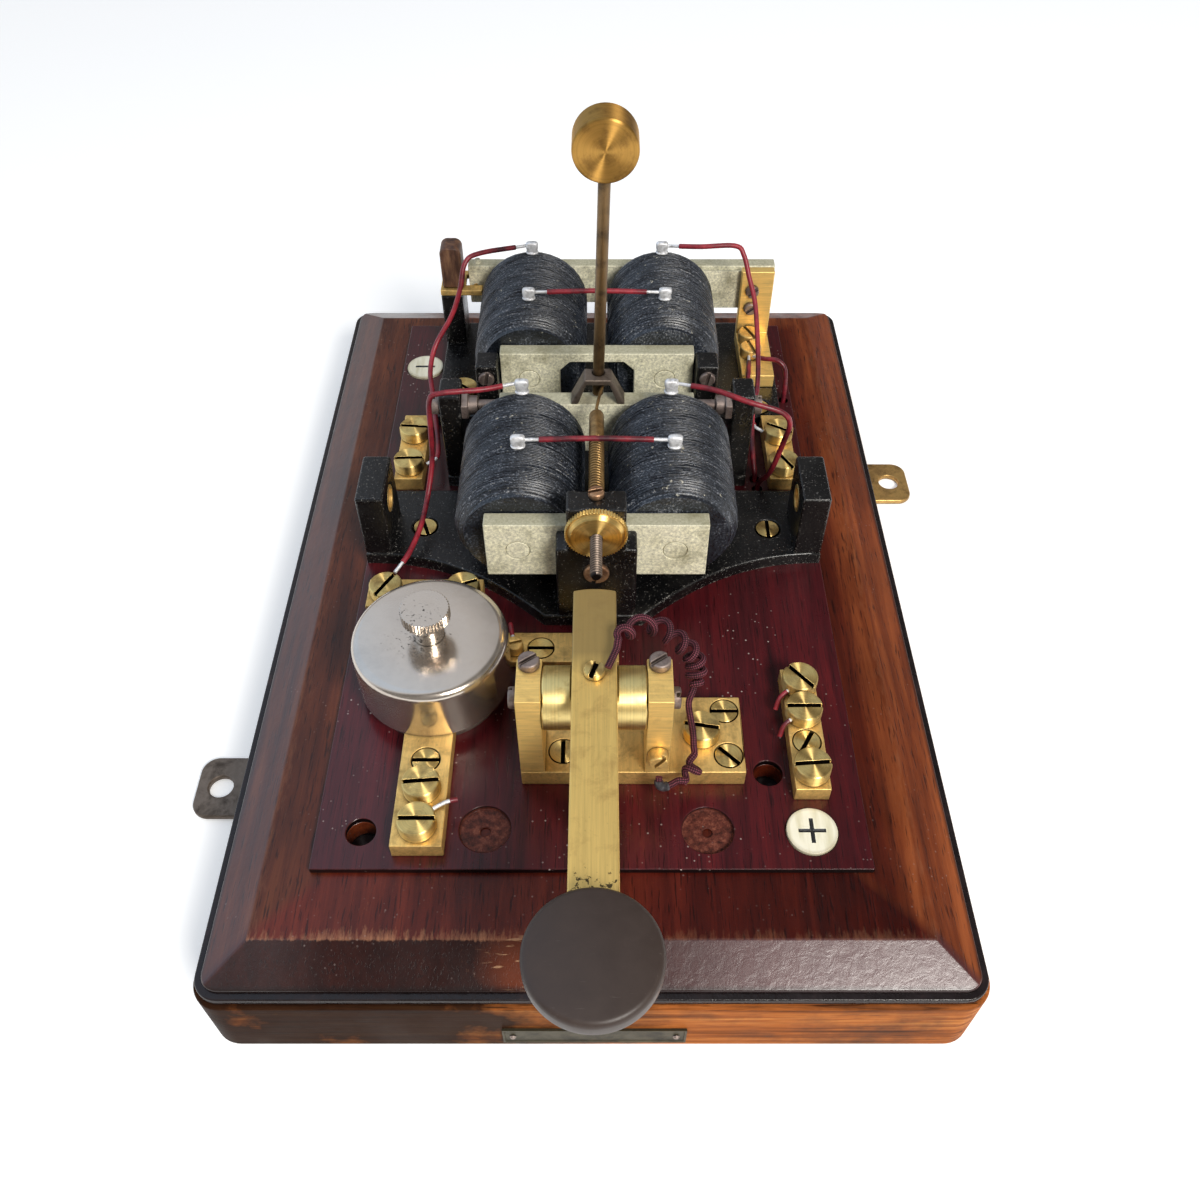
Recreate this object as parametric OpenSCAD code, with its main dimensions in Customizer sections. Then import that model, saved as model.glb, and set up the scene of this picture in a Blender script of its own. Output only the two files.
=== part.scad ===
// Railway block bell: electromagnetic bell movement, relay and tapper key on a mahogany base.
// The origin is the centre of the plinth's underside; X points right, Y away from the key, Z up.

/* [Base] */
// Width of the plinth
plinth_w = 228.6; // [216:0.2:260]
// Length of the plinth, front to back
plinth_l = 334; // [324:1:380]
// Height of the plinth
plinth_h = 28.5; // [22:0.5:40]
// Corner radius of the plinth in plan
plinth_corner_r = 9; // [4:0.5:14]
// Height of the black bead
bead_h = 3; // [2:0.25:5]
// Step in from the plinth's edge to the bead
bead_inset = 1.2; // [0.5:0.1:2]
// Height of the bevelled board
board_h = 7.1; // [6:0.1:12]
// Step in from the plinth's edge to the board
board_inset = 3.4; // [2.5:0.1:5]
// Width of the board's bevel
bevel_w = 12.8; // [8:0.1:14]
// Height of the board's upright edge under the bevel
bevel_lip = 1.2; // [0.6:0.1:3]
// Width of the raised panel
panel_w = 167.2; // [166:0.2:176]
// Length of the raised panel
panel_l = 272; // [270:1:280]
// Rise of the panel over the board
panel_h = 2.4; // [1.5:0.1:4]

/* [Fixing plates] */
// Distance of the fixing holes beyond the plinth's sides
fix_hole_out = 16.7; // [14.7:0.1:23]
// Distance of the fixing holes from the middle, along
fix_hole_y = 78.5; // [60:0.5:110]
// Diameter of the fixing holes
fix_hole_d = 8.4; // [5:0.1:10]
// Width of a fixing plate
fix_plate_w = 24; // [18:0.5:30]
// Thickness of a fixing plate
fix_plate_t = 2.5; // [2:0.1:4]
// Reach of a fixing plate under the plinth
fix_plate_in = 24; // [18:0.5:32]
// Metal beyond the fixing hole
fix_plate_end = 8.5; // [7:0.5:11]

/* [Terminals] */
// Thickness of the terminal bars
bar_t = 6; // [4:0.25:8]
// Width of the narrow terminal bars
bar_w = 11; // [10:0.25:13]
// Width of the protector's bars
wide_bar_w = 15.6; // [13:0.2:18]
// Diameter of a terminal screw's head
head_d = 11.6; // [10.5:0.1:11.6]
// Height of a terminal screw's head
head_h = 4.8; // [3:0.1:7]
// Diameter of a countersunk screw's head
flush_d = 9; // [7:0.1:10]
// Thickness of a countersunk screw's head
flush_t = 2.4; // [1.5:0.1:2.8]
// Diameter of the screws' shanks
shank_d = 4; // [3:0.1:5]
// Width of the screw slots
slot_w = 1.3; // [0.8:0.1:2]
// Depth of the screw slots
slot_deep = 1.4; // [0.8:0.1:2]
// Diameter of the ivory discs
disc_d = 15.6; // [12:0.2:18]

/* [Key] */
// Thickness of the key's base plate
key_plate_t = 7; // [5:0.25:9]
// Height of the cheeks over the plate
cheek_h = 36.5; // [36:0.25:44]
// Thickness of a cheek
cheek_t = 7.4; // [6:0.1:8]
// Depth of a cheek, front to back
cheek_l = 15.8; // [13:0.2:16.4]
// Gap between the cheeks
cheek_gap = 30.6; // [28:0.2:32]
// Diameter of the drum
drum_d = 19; // [18:0.25:20]
// Height of the drum's axis over the plate
drum_rise = 28; // [26:0.25:28]
// Diameter of the pivot pins
pivot_d = 5; // [4:0.1:6]
// Height of the lever's seat over the drum's axis
lever_seat = 7; // [6.5:0.1:8]
// Width of the lever
lever_w = 13; // [10:0.25:15]
// Thickness of the lever
lever_t = 5; // [4:0.25:6]
// Diameter of the knob
knob_d = 33.4; // [26:0.2:38]
// Thickness of the knob's disc
knob_t = 8; // [6:0.25:11]
// Height of the knob's neck
knob_neck_h = 3; // [1:0.25:6]
// Gap under the lever at the front contact
contact_gap = 1.3; // [1.2:0.1:2]

/* [Magnets] */
// Thickness of the cast frame's plate
frame_t = 5; // [4:0.25:8]
// Outer diameter of a winding
coil_d = 44.8; // [42:0.2:48]
// Length of a winding
coil_l = 55; // [50:0.5:60]
// Distance between the axes of a pair
coil_pitch = 53; // [50:0.5:56]
// Clearance between a winding and the frame
coil_lift = 0.6; // [0.4:0.1:2]
// Diameter of the iron cores
core_d = 13; // [10:0.2:16]
// Diameter of the cores' spigots in the yokes
spigot_d = 8; // [6:0.2:9]
// Length of a core's pole beyond the winding
pole_out = 0.6; // [0.4:0.1:0.9]
// Length of a yoke
yoke_l = 75; // [72:0.5:80]
// Height of a yoke
yoke_h = 24; // [20:0.5:28]
// Thickness of a yoke
yoke_t = 6; // [5:0.25:8]
// Width of the rear yoke's notch
notch_w = 29; // [24:0.5:33]
// Diameter of the winding's outer strand
strand_d = 2.8; // [2:0.1:2.9]
// Turns shown on a winding
strand_turns = 14; // [8:1:14]

/* [Hammer] */
// Length of the bell armature
arm_l = 72; // [66:0.5:76]
// Height of the bell armature
arm_h = 22.5; // [20:0.5:24]
// Thickness of the bell armature
arm_t = 7.4; // [6:0.2:9]
// Air gap between the poles and the bell armature
arm_gap = 1.4; // [1.4:0.1:2.5]
// Diameter of the armature's shaft
shaft_d = 4; // [3:0.1:5]
// Diameter of the hammer's rod
rod_d = 4.1; // [3:0.1:5]
// Height of the hammer's head over the pivot
head_rise = 99.3; // [80:0.5:120]
// Diameter of the hammer's head
hammer_d = 20.7; // [16:0.1:26]
// Length of the hammer's head
hammer_l = 11; // [8:0.25:16]
// Sideways lean of the rod in degrees
rod_lean = 1.5; // [0:0.25:3]

/* [Tension] */
// Height of the post over the frame's plate
post_h = 51; // [50:0.5:56]
// Depth of the adjusting screw under the post's top
adjust_drop = 9; // [8:0.25:10]
// Diameter of the adjusting screw
adjust_d = 4; // [3:0.1:5]
// Diameter of the knurled nut
nut_d = 20.4; // [16:0.2:21]
// Thickness of the knurled nut
nut_t = 3.4; // [2.5:0.1:5]
// Outer diameter of the tension spring
spring_d = 5.2; // [4.5:0.1:6]
// Wire diameter of the tension spring
spring_wire_d = 0.75; // [0.6:0.05:0.8]
// Turns of the tension spring
spring_turns = 20; // [14:1:20]

/* [Relay] */
// Height of the relay's armature bar
relay_h = 18; // [14:0.5:22]
// Thickness of the relay's armature bar
relay_t = 5.5; // [4:0.25:7]
// Air gap between the poles and the relay's armature
relay_gap = 1.2; // [1.2:0.1:2]
// Width of the brass bracket
bracket_w = 13.6; // [12:0.2:15]
// Thickness of the bracket's upright
bracket_t = 4; // [3:0.25:5]

/* [Protector] */
// Outer diameter of the cap
cap_d = 50; // [47:0.5:52]
// Height of the cap
cap_h = 20.5; // [16:0.5:28]
// Wall of the cap
cap_wall = 1.2; // [0.8:0.1:2]
// Radius of the cap's upper edge
cap_edge_r = 3; // [2.2:0.1:4]
// Diameter of the protector's stud
stud_d = 5; // [4:0.1:6]
// Diameter of the thumb nut
thumb_d = 15.7; // [13:0.1:18]
// Height of the thumb nut's knurled head
thumb_h = 4.3; // [3:0.1:7]
// Height of the thumb nut's collar
thumb_collar_h = 8.2; // [5:0.1:10]

/* [Wires] */
// Diameter of the red leads
lead_d = 2.4; // [1.8:0.1:2.6]
// Diameter of the curly flex
flex_d = 2; // [1.6:0.1:2.1]
// Radius of the flex's curls
curl_r = 2.5; // [2.2:0.1:2.8]

/* [Clearances] */
// Radial clearance of running fits
run_gap = 0.05; // [0.03:0.01:0.09]
// Clearance round screw heads and shanks
screw_gap = 0.1; // [0.05:0.01:0.2]
// Gap between faces that part when a piece moves
seat_gap = 0.15; // [0.1:0.01:0.25]

/* [Hidden] */
$fn = 64;
eps = 0.01;
press_gap = 0.02;

// Levels
bead_z = plinth_h;
board_z = bead_z + bead_h;
panel_z = board_z + board_h;
floor_z = panel_z + panel_h;
bar_z = floor_z + bar_t;
key_z = floor_z + key_plate_t;
frame_z = floor_z + frame_t;
coil_z = frame_z + coil_lift + coil_d / 2;
pivot_rise = 8.5;
arm_rise = 11.5;
pivot_z = coil_z + pivot_rise;
arm_top_z = coil_z + arm_rise;
post_z = frame_z + post_h;
adjust_z = post_z - adjust_drop;
drum_z = key_z + drum_rise;
lever_z = drum_z + lever_seat;
lever_top_z = lever_z + lever_t;

// Places across
key_x = 0.8;
mid_x = 1.2;
coil_x = [mid_x - coil_pitch / 2, mid_x + coil_pitch / 2];
hammer_x = 1.6;
cap_x = -51.8;
battery_x = 67.6;
coil_bar_x = [-72, 73.8];
bracket_x = 68.6;
bracket_screw_x = bracket_x - 2;

// Places along
front_y = -plinth_l / 2;
panel_front = -130.5;
cheek_y = -93.6;
key_plate_front = cheek_y - cheek_l / 2;
key_plate_back = -73;
key_plate_right = 46.6;
lever_tail = -61.4;
knob_y = -180.3;
spring_y = -112;
contact_y = -124;
yoke_y = [-27.5, 65.5];
coil_y = [yoke_y[0] + yoke_t, yoke_y[1] + yoke_t];
pole_y = [coil_y[0] + coil_l + pole_out, coil_y[1] + coil_l + pole_out];
arm_y = pole_y[0] + arm_gap;
shaft_y = arm_y + arm_t / 2;
post_y = yoke_y[0];
post_l = 9.4;
post_front = post_y - post_l;
relay_y = pole_y[1] + relay_gap;
leaf_t = 0.7;
upright_out = 8;
upright_y = relay_y - upright_out;
leaf_y = upright_y + bracket_t;
cap_y = -62.6;
earth_bar_x = [-79.5, -39];
earth_bar_y = [-33.2, -20.4];
battery_bar_y = [-107, -60.8];
coil_bar_y = [32, 70.5];

// Fixing plates and their screws
fix_hole_x = plinth_w / 2 + fix_hole_out;
fix_inner_x = plinth_w / 2 - fix_plate_in;
fix_screw_x = plinth_w / 2 - fix_plate_in / 2;
fix_screw_y = [-7, 7];
fix_screw_l = 9;
fix_head_d = 6;
fix_head_h = 1.2;
thin_shank_d = 3;

// Panel sockets and holes
disc_at = [[66.4, -118], [-74, 110]];
socket_at = [[-32.4, -117], [35, -117.4]];
peg_at = [[-69.8, -118], [55.2, -97.3]];
socket_deep = 1.6;
disc_seat = 1.4;
disc_t = 2.2;
peg_hole_d = 9;
pilot_d = 3;
lead_hole_d = lead_d + 1.4;
lead_hole_deep = 3;
lead_end_z = panel_z - 1.4;
lead_hole_at = [[64, 33], [63.5, 38.5], [80.2, 87.7]];

// Thickness of the back contact's plate
back_plate_t = 3;

// Terminal and flush screws: place across, place along, height of the seat, turn of the slot
terminals = [[battery_x, -67.1, bar_z, 130], [battery_x, -78.9, bar_z, 0], [battery_x, -100.3, bar_z, 4],
    [cap_x, -106.6, bar_z, 5], [cap_x, -119.4, bar_z, 0], [key_x + 33.4, -87.2, key_z, 170],
    [coil_bar_x[0], 39, bar_z, 2], [coil_bar_x[0], 58, bar_z, 175], [coil_bar_x[1], 38.5, bar_z, 120],
    [coil_bar_x[1], 57, bar_z, 150], [-54.6, 85, frame_z, 140], [-72.6, -26.8, bar_z, 60],
    [-45.5, -26.8, bar_z, 20]];
flushes = [[battery_x, -89.4, bar_z, 60], [cap_x, -96.2, bar_z, 0], [key_x + 41.4, -78.4, key_z, 0],
    [key_x + 41.6, -95.2, key_z, 135], [key_x - 9.9, -93.7, key_z, 90],
    [-17.7, -49.3, floor_z + back_plate_t, 0],
    [-62.8, 7, frame_z, 110], [64.8, 6, frame_z, 90], [-56.6, 77, frame_z, 0], [68.2, 77.4, frame_z, 0]];
wood_bite = 4.5;

// Rounded rectangle in plan, made of plain squares and circles
module rounded_plan(w, l, r) {
    square([w - 2 * r, l], center = true);
    square([w, l - 2 * r], center = true);
    for (x = [-1, 1]) {
        for (y = [-1, 1]) {
            translate([x * (w / 2 - r), y * (l / 2 - r)]) circle(r = r);
        }
    }
}

// Block between two corners
module block(a, b) {
    translate(a) cube(b - a);
}

// Slotted head standing on the origin
module slotted_head(d, h, turn) {
    edge = 0.4;
    deep = min(slot_deep, 0.6 * h);
    difference() {
        union() {
            cylinder(d = d, h = h - edge);
            translate([0, 0, h - edge]) cylinder(d1 = d, d2 = d - 2 * edge, h = edge);
        }
        rotate(turn) translate([-d, -slot_w / 2, h - deep]) cube([2 * d, slot_w, deep + 1]);
    }
}

// Screw with its head on the origin and its shank below
module screw(d, h, shank, reach, turn) {
    slotted_head(d, h, turn);
    translate([0, 0, -reach]) cylinder(d = shank, h = reach);
}

// Shank holes under every screw that bites into the wood
module wood_holes() {
    for (p = concat(terminals, flushes)) {
        translate([p[0], p[1], floor_z - wood_bite]) cylinder(d = shank_d + 2 * screw_gap, h = 60);
    }
}

// Holes for the terminal and flush screws in a metal plate
module plate_holes() {
    for (p = terminals) {
        translate([p[0], p[1], 0]) cylinder(d = shank_d + 2 * screw_gap, h = 200);
    }
    for (p = flushes) {
        translate([p[0], p[1], 0]) cylinder(d = shank_d + 2 * screw_gap, h = 200);
        translate([p[0], p[1], p[2] - flush_t - screw_gap]) cylinder(d = flush_d + 2 * screw_gap, h = 60);
    }
}

// Plain helpers for swept tubes
function unit(v) = v / norm(v);
function flat_list(a) = [for (b = a) for (c = b) c];
function point_gap(p, skip, d) = min([for (i = [0:len(p) - 1 - skip])
    min([for (j = [i + skip:len(p) - 1]) norm(p[i] - p[j])])]) - d;

// Point of a smooth curve through the route's points, counted from 0 to len - 1
function route_at(r, t) =
    let (n = len(r) - 1, i = min(n - 1, max(0, floor(t))), f = t - i, b = r[i], c = r[i + 1],
        a = i > 0 ? r[i - 1] : 2 * b - c, d = i < n - 1 ? r[i + 2] : 2 * c - b)
    0.5 * (2 * b + (c - a) * f + (2 * a - 5 * b + 4 * c - d) * f * f + (3 * b - a - 3 * c + d) * f * f * f);
function smooth_route(r, steps) = [for (i = [0:(len(r) - 1) * steps]) route_at(r, i / steps)];

// Directions along a list of points, and a steady sideways direction for each
function along(p) = [for (i = [0:len(p) - 1])
    unit(p[min(i + 1, len(p) - 1)] - p[max(i - 1, 0)])];
function sideways(t, start) = [for (i = 0, n = unit(start - (start * t[0]) * t[0]); i < len(t);
    i = i + 1, n = i < len(t) ? unit(n - (n * t[i]) * t[i]) : n) n];

// One unbroken tube along the points
module tube(p, d, sides, start) {
    t = along(p);
    n = sideways(t, start);
    rings = [for (i = [0:len(p) - 1]) let (b = cross(t[i], n[i]))
        [for (k = [0:sides - 1]) p[i] + d / 2 * (cos(360 * k / sides) * n[i] + sin(360 * k / sides) * b)]];
    last = len(p) - 1;
    sides_of = [for (i = [0:last - 1]) for (k = [0:sides - 1])
        let (a = i * sides + k, b = i * sides + (k + 1) % sides)
        each [[a, a + sides, b], [b, a + sides, b + sides]]];
    first_cap = [for (k = [1:sides - 2]) [0, k, k + 1]];
    last_cap = [for (k = [1:sides - 2]) [last * sides, last * sides + k + 1, last * sides + k]];
    polyhedron(points = flat_list(rings), faces = concat(sides_of, first_cap, last_cap), convexity = 8);
}

knurl_deep = 0.5;

// Disc with a knurled rim, standing on the origin
module knurled(d, h, teeth) {
    linear_extrude(height = h) polygon([for (i = [0:2 * teeth - 1])
        (d / 2 - (i % 2) * knurl_deep) * [cos(180 * i / teeth), sin(180 * i / teeth)]]);
}

module peg_holes() {
    for (p = peg_at) {
        translate([p[0], p[1], board_z]) cylinder(d = peg_hole_d, h = 60);
    }
    for (p = lead_hole_at) {
        translate([p[0], p[1], panel_z - lead_hole_deep]) cylinder(d = lead_hole_d, h = 60);
    }
}

module fixing_pocket() {
    pocket_w = fix_plate_w + 2 * screw_gap;
    block([fix_inner_x - screw_gap, fix_hole_y - pocket_w / 2, -1],
        [plinth_w, fix_hole_y + pocket_w / 2, fix_plate_t]);
    for (y = fix_screw_y) {
        translate([fix_screw_x, fix_hole_y + y, 0])
            cylinder(d = thin_shank_d + 2 * screw_gap, h = fix_screw_l + 2);
    }
}

module base_plinth() {
    color("sienna") difference() {
        linear_extrude(height = plinth_h) rounded_plan(plinth_w, plinth_l, plinth_corner_r);
        fixing_pocket();
        rotate(180) fixing_pocket();
    }
}

module base_bead() {
    color("black") translate([0, 0, bead_z]) linear_extrude(height = bead_h)
        rounded_plan(plinth_w - 2 * bead_inset, plinth_l - 2 * bead_inset, plinth_corner_r - bead_inset);
}

module bevel_outline(w) {
    polygon([[-w / 2, 0], [w / 2, 0], [w / 2, bevel_lip], [w / 2 - bevel_w, board_h],
        [bevel_w - w / 2, board_h], [-w / 2, bevel_lip]]);
}

module base_board() {
    w = plinth_w - 2 * board_inset;
    l = plinth_l - 2 * board_inset;
    color("saddlebrown") difference() {
        translate([0, 0, board_z]) intersection() {
            rotate([90, 0, 0]) linear_extrude(height = l, center = true) bevel_outline(w);
            rotate([90, 0, 90]) linear_extrude(height = w, center = true) bevel_outline(l);
            linear_extrude(height = board_h) rounded_plan(w, l, plinth_corner_r - board_inset);
        }
        peg_holes();
        wood_holes();
    }
}

module movement_panel() {
    color("maroon") difference() {
        block([-panel_w / 2, panel_front, panel_z], [panel_w / 2, panel_front + panel_l, floor_z]);
        peg_holes();
        wood_holes();
        for (p = socket_at) {
            translate([p[0], p[1], floor_z - socket_deep]) cylinder(d = disc_d, h = 10);
            translate([p[0], p[1], panel_z]) cylinder(d = pilot_d, h = 10);
        }
        for (p = disc_at) {
            translate([p[0], p[1], floor_z - disc_seat]) cylinder(d = disc_d + 2 * screw_gap, h = 10);
        }
    }
}

module fixing_plate() {
    x1 = fix_hole_x + fix_plate_end;
    r = fix_plate_w / 4;
    difference() {
        translate([0, fix_hole_y, 0]) linear_extrude(height = fix_plate_t) {
            translate([fix_inner_x, -fix_plate_w / 2]) square([x1 - r - fix_inner_x, fix_plate_w]);
            translate([fix_inner_x, r - fix_plate_w / 2]) square([x1 - fix_inner_x, fix_plate_w - 2 * r]);
            for (y = [-1, 1]) {
                translate([x1 - r, y * (fix_plate_w / 2 - r)]) circle(r = r);
            }
        }
        translate([fix_hole_x, fix_hole_y, -1]) cylinder(d = fix_hole_d, h = fix_plate_t + 2);
        for (y = fix_screw_y) {
            translate([fix_screw_x, fix_hole_y + y, -1]) {
                cylinder(d = thin_shank_d + 2 * screw_gap, h = fix_plate_t + 2);
                cylinder(d = fix_head_d + 2 * screw_gap, h = fix_head_h + 1 + screw_gap);
            }
        }
    }
}

module fixing_plate_brass() {
    color("darkgoldenrod") fixing_plate();
}

module fixing_plate_iron() {
    color("dimgray") rotate(180) fixing_plate();
}

module fixing_screws() {
    color("gray") for (turn = [0, 180]) {
        for (y = fix_screw_y) {
            rotate(turn) translate([fix_screw_x, fix_hole_y + y, fix_head_h + screw_gap])
                rotate([180, 0, 0]) screw(fix_head_d, fix_head_h, thin_shank_d, fix_screw_l, 30);
        }
    }
}

strip_w = 54;
strip_h = 9.4;
strip_t = 0.8;
strip_z = 4.3;
strip_pin_d = 1;
strip_pin_in = 3;

module strip_plate() {
    color("olive") difference() {
        block([key_x - strip_w / 2, front_y - strip_t, strip_z],
            [key_x + strip_w / 2, front_y, strip_z + strip_h]);
        for (x = [-1, 1]) {
            translate([key_x + x * (strip_w / 2 - strip_pin_in), front_y + 1, strip_z + strip_h / 2])
                rotate([90, 0, 0]) cylinder(d = strip_pin_d + 2 * screw_gap, h = 4);
        }
    }
}

module strip_pins() {
    color("goldenrod") for (x = [-1, 1]) {
        translate([key_x + x * (strip_w / 2 - strip_pin_in), front_y - eps, strip_z + strip_h / 2])
            rotate([90, 0, 0]) {
                cylinder(d = strip_pin_d, h = strip_t);
                translate([0, 0, strip_t])
                    cylinder(d1 = 2 * strip_pin_d, d2 = 1.2 * strip_pin_d, h = strip_pin_d / 2);
            }
    }
}

module ivory_discs() {
    mark_l = 8;
    mark_w = 0.9;
    mark_deep = 0.4;
    color("ivory") for (i = [0, 1]) {
        translate([disc_at[i][0], disc_at[i][1], floor_z - disc_seat]) difference() {
            cylinder(d = disc_d, h = disc_t);
            translate([-mark_l / 2, -mark_w / 2, disc_t - mark_deep]) cube([mark_l, mark_w, 1]);
            if (i == 0) {
                translate([-mark_w / 2, -mark_l / 2, disc_t - mark_deep]) cube([mark_w, mark_l, 1]);
            }
        }
    }
}

line_bar_front = -126.2;
line_bar_back = cap_y + 12;

module line_bar() {
    color("goldenrod") difference() {
        block([cap_x - wide_bar_w / 2, line_bar_front, floor_z],
            [cap_x + wide_bar_w / 2, line_bar_back, bar_z]);
        plate_holes();
    }
}

module earth_bar() {
    color("goldenrod") difference() {
        block([earth_bar_x[0], earth_bar_y[0], floor_z], [earth_bar_x[1], earth_bar_y[1], bar_z]);
        plate_holes();
    }
}

module battery_bar() {
    color("goldenrod") difference() {
        block([battery_x - bar_w / 2, battery_bar_y[0], floor_z],
            [battery_x + bar_w / 2, battery_bar_y[1], bar_z]);
        plate_holes();
    }
}

module coil_bars() {
    color("goldenrod") for (x = coil_bar_x) {
        difference() {
            block([x - bar_w / 2, coil_bar_y[0], floor_z], [x + bar_w / 2, coil_bar_y[1], bar_z]);
            plate_holes();
        }
    }
}

module terminal_screws() {
    color("gold") for (p = terminals) {
        translate([p[0], p[1], p[2]]) screw(head_d, head_h, shank_d, p[2] - floor_z + wood_bite, p[3]);
    }
}

module flush_screws() {
    color("gold") for (p = flushes) {
        translate([p[0], p[1], p[2] - flush_t])
            screw(flush_d, flush_t, shank_d, p[2] - flush_t - floor_z + wood_bite, p[3]);
    }
}

cheek_screw_z = key_z + 11;
cheek_screw_x = key_x + cheek_gap / 2 + cheek_t / 2;
small_head_d = 6;
small_head_h = 4.2;
foot_head_d = 9;
foot_screw_y = [upright_y - 15.3, upright_y - 4.9];
foot_t = 6;
back_screw_at = [-26.6, -50.4];

module small_screws() {
    color("gold") {
        translate([cheek_screw_x, key_plate_front, cheek_screw_z]) rotate([90, 0, 0])
            screw(small_head_d, small_head_h, thin_shank_d, cheek_l / 2, 55);
        translate([back_screw_at[0], back_screw_at[1], floor_z + back_plate_t])
            screw(small_head_d, small_head_h, thin_shank_d, back_plate_t, 15);
        for (y = foot_screw_y) {
            translate([bracket_screw_x, y, bracket_foot_z])
                screw(foot_head_d, small_head_h, shank_d, foot_t - 1, y);
        }
    }
}

module key_plate() {
    color("goldenrod") difference() {
        block([key_x - cheek_gap / 2 - cheek_t, key_plate_front, floor_z],
            [key_x + key_plate_right, key_plate_back, key_z]);
        plate_holes();
    }
}

module pivot_bores(d) {
    translate([key_x, cheek_y, drum_z]) rotate([0, 90, 0]) cylinder(d = d, h = 100, center = true);
}

module key_cheeks() {
    color("gold") for (side = [-1, 1]) {
        x0 = key_x + side * (cheek_gap / 2 + cheek_t / 2);
        difference() {
            block([x0 - cheek_t / 2, key_plate_front, key_z],
                [x0 + cheek_t / 2, key_plate_front + cheek_l, key_z + cheek_h]);
            pivot_bores(pivot_d + 2 * screw_gap);
            translate([x0, cheek_y + clamp_y, key_z + cheek_h - clamp_in - screw_gap])
                cylinder(d = thin_shank_d + 2 * screw_gap, h = 60);
            if (side > 0) {
                translate([cheek_screw_x, key_plate_front - 1, cheek_screw_z]) rotate([-90, 0, 0])
                    cylinder(d = thin_shank_d + 2 * screw_gap, h = cheek_l / 2 + 1 + screw_gap);
            }
        }
    }
}

pivot_in = 8;
pivot_head_d = pivot_d + 1.6;
pivot_head_h = 2.6;
clamp_y = 5.6;
clamp_in = 2.6;
clamp_head_d = 6.4;
clamp_head_h = 2.8;

module key_screws() {
    color("dimgray") for (side = [-1, 1]) {
        translate([key_x + side * (cheek_gap / 2 + cheek_t), cheek_y, drum_z]) rotate([0, side * 90, 0])
            screw(pivot_head_d, pivot_head_h, pivot_d, cheek_t + pivot_in, 20);
        translate([key_x + side * (cheek_gap / 2 + cheek_t / 2), cheek_y + clamp_y, key_z + cheek_h])
            screw(clamp_head_d, clamp_head_h, thin_shank_d, clamp_in, 35);
    }
}

module key_drum() {
    color("gold") difference() {
        translate([key_x, cheek_y, drum_z]) rotate([0, 90, 0])
            cylinder(d = drum_d, h = cheek_gap - 2 * seat_gap, center = true);
        for (side = [-1, 1]) {
            translate([key_x + side * (cheek_gap / 2 - pivot_in - 0.5), cheek_y, drum_z])
                rotate([0, side * 90, 0]) cylinder(d = pivot_d + 2 * run_gap, h = 40);
        }
        block([key_x - lever_w / 2 - screw_gap, cheek_y - drum_d, lever_z],
            [key_x + lever_w / 2 + screw_gap, cheek_y + drum_d, lever_z + drum_d]);
        translate([key_x, cheek_y, lever_z - lever_screw_in - screw_gap])
            cylinder(d = thin_shank_d + 2 * screw_gap, h = drum_d);
    }
}

tail_r = 24;
knob_spigot_d = 5;
lever_screw_in = 3;
lever_head_d = 6.2;
lever_head_h = 2.2;

module key_lever() {
    color("gold") difference() {
        union() {
            block([key_x - lever_w / 2, knob_y, lever_z],
                [key_x + lever_w / 2, lever_tail - tail_r / 8, lever_top_z]);
            translate([key_x, knob_y, lever_z]) cylinder(d = lever_w, h = lever_t);
            intersection() {
                translate([key_x, lever_tail - tail_r, lever_z]) cylinder(r = tail_r, h = lever_t);
                block([key_x - lever_w / 2, lever_tail - tail_r / 4, lever_z],
                    [key_x + lever_w / 2, lever_tail + 1, lever_top_z]);
            }
        }
        translate([key_x, cheek_y, lever_z - 1]) cylinder(d = thin_shank_d + 2 * screw_gap, h = lever_t + 2);
        translate([key_x, knob_y, lever_z - 1]) cylinder(d = knob_spigot_d + 2 * screw_gap, h = lever_t + 2);
    }
}

module lever_screw() {
    color("gold") translate([key_x, cheek_y, lever_top_z])
        screw(lever_head_d, lever_head_h, thin_shank_d, lever_t + lever_screw_in, 70);
}

module key_knob() {
    r = knob_d / 2;
    lip = 2.6;
    dome = 1;
    color("black") translate([key_x, knob_y, lever_top_z]) {
        rotate_extrude() {
            square([r * 0.62, knob_neck_h]);
            translate([0, knob_neck_h]) square([r - lip, knob_t - dome]);
            translate([0, knob_neck_h + lip]) square([r, knob_t - dome - 2 * lip]);
            for (z = [knob_neck_h + lip, knob_neck_h + knob_t - dome - lip]) {
                translate([r - lip, z]) circle(r = lip);
            }
        }
        translate([0, 0, knob_neck_h + knob_t - dome]) cylinder(r1 = r - lip, r2 = r * 0.4, h = dome);
        translate([0, 0, -lever_t]) cylinder(d = knob_spigot_d, h = lever_t);
    }
}

key_spring_d = 8;
key_spring_wire_d = 1;
key_spring_turns = 6;

// Points of a spring that stands up, with straight ends
function standing_coil(x, y, z0, z1, r, turns, rings, end) = concat(
    [[x + r, y, z0], [x + r, y, z0 + end]],
    [for (i = [1:turns * rings - 1]) let (f = i / (turns * rings))
        [x + r * cos(360 * turns * f), y + r * sin(360 * turns * f), z0 + end + (z1 - z0 - 2 * end) * f]],
    [[x + r, y, z1 - end], [x + r, y, z1]]);
key_spring_points = standing_coil(key_x, spring_y, floor_z + seat_gap, lever_z - seat_gap,
    (key_spring_d - key_spring_wire_d) / 2, key_spring_turns, 8, key_spring_wire_d);
echo(key_spring_gap = point_gap(key_spring_points, 6, key_spring_wire_d));

module key_spring() {
    color("silver") tube(key_spring_points, key_spring_wire_d, 6, [1, 0, 0]);
}

contact_foot_d = 11;
contact_foot_h = 3;
contact_stem_d = 6;
contact_tip_d = 3;
contact_tip_h = 2;
contact_top = lever_z - contact_gap;

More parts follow.
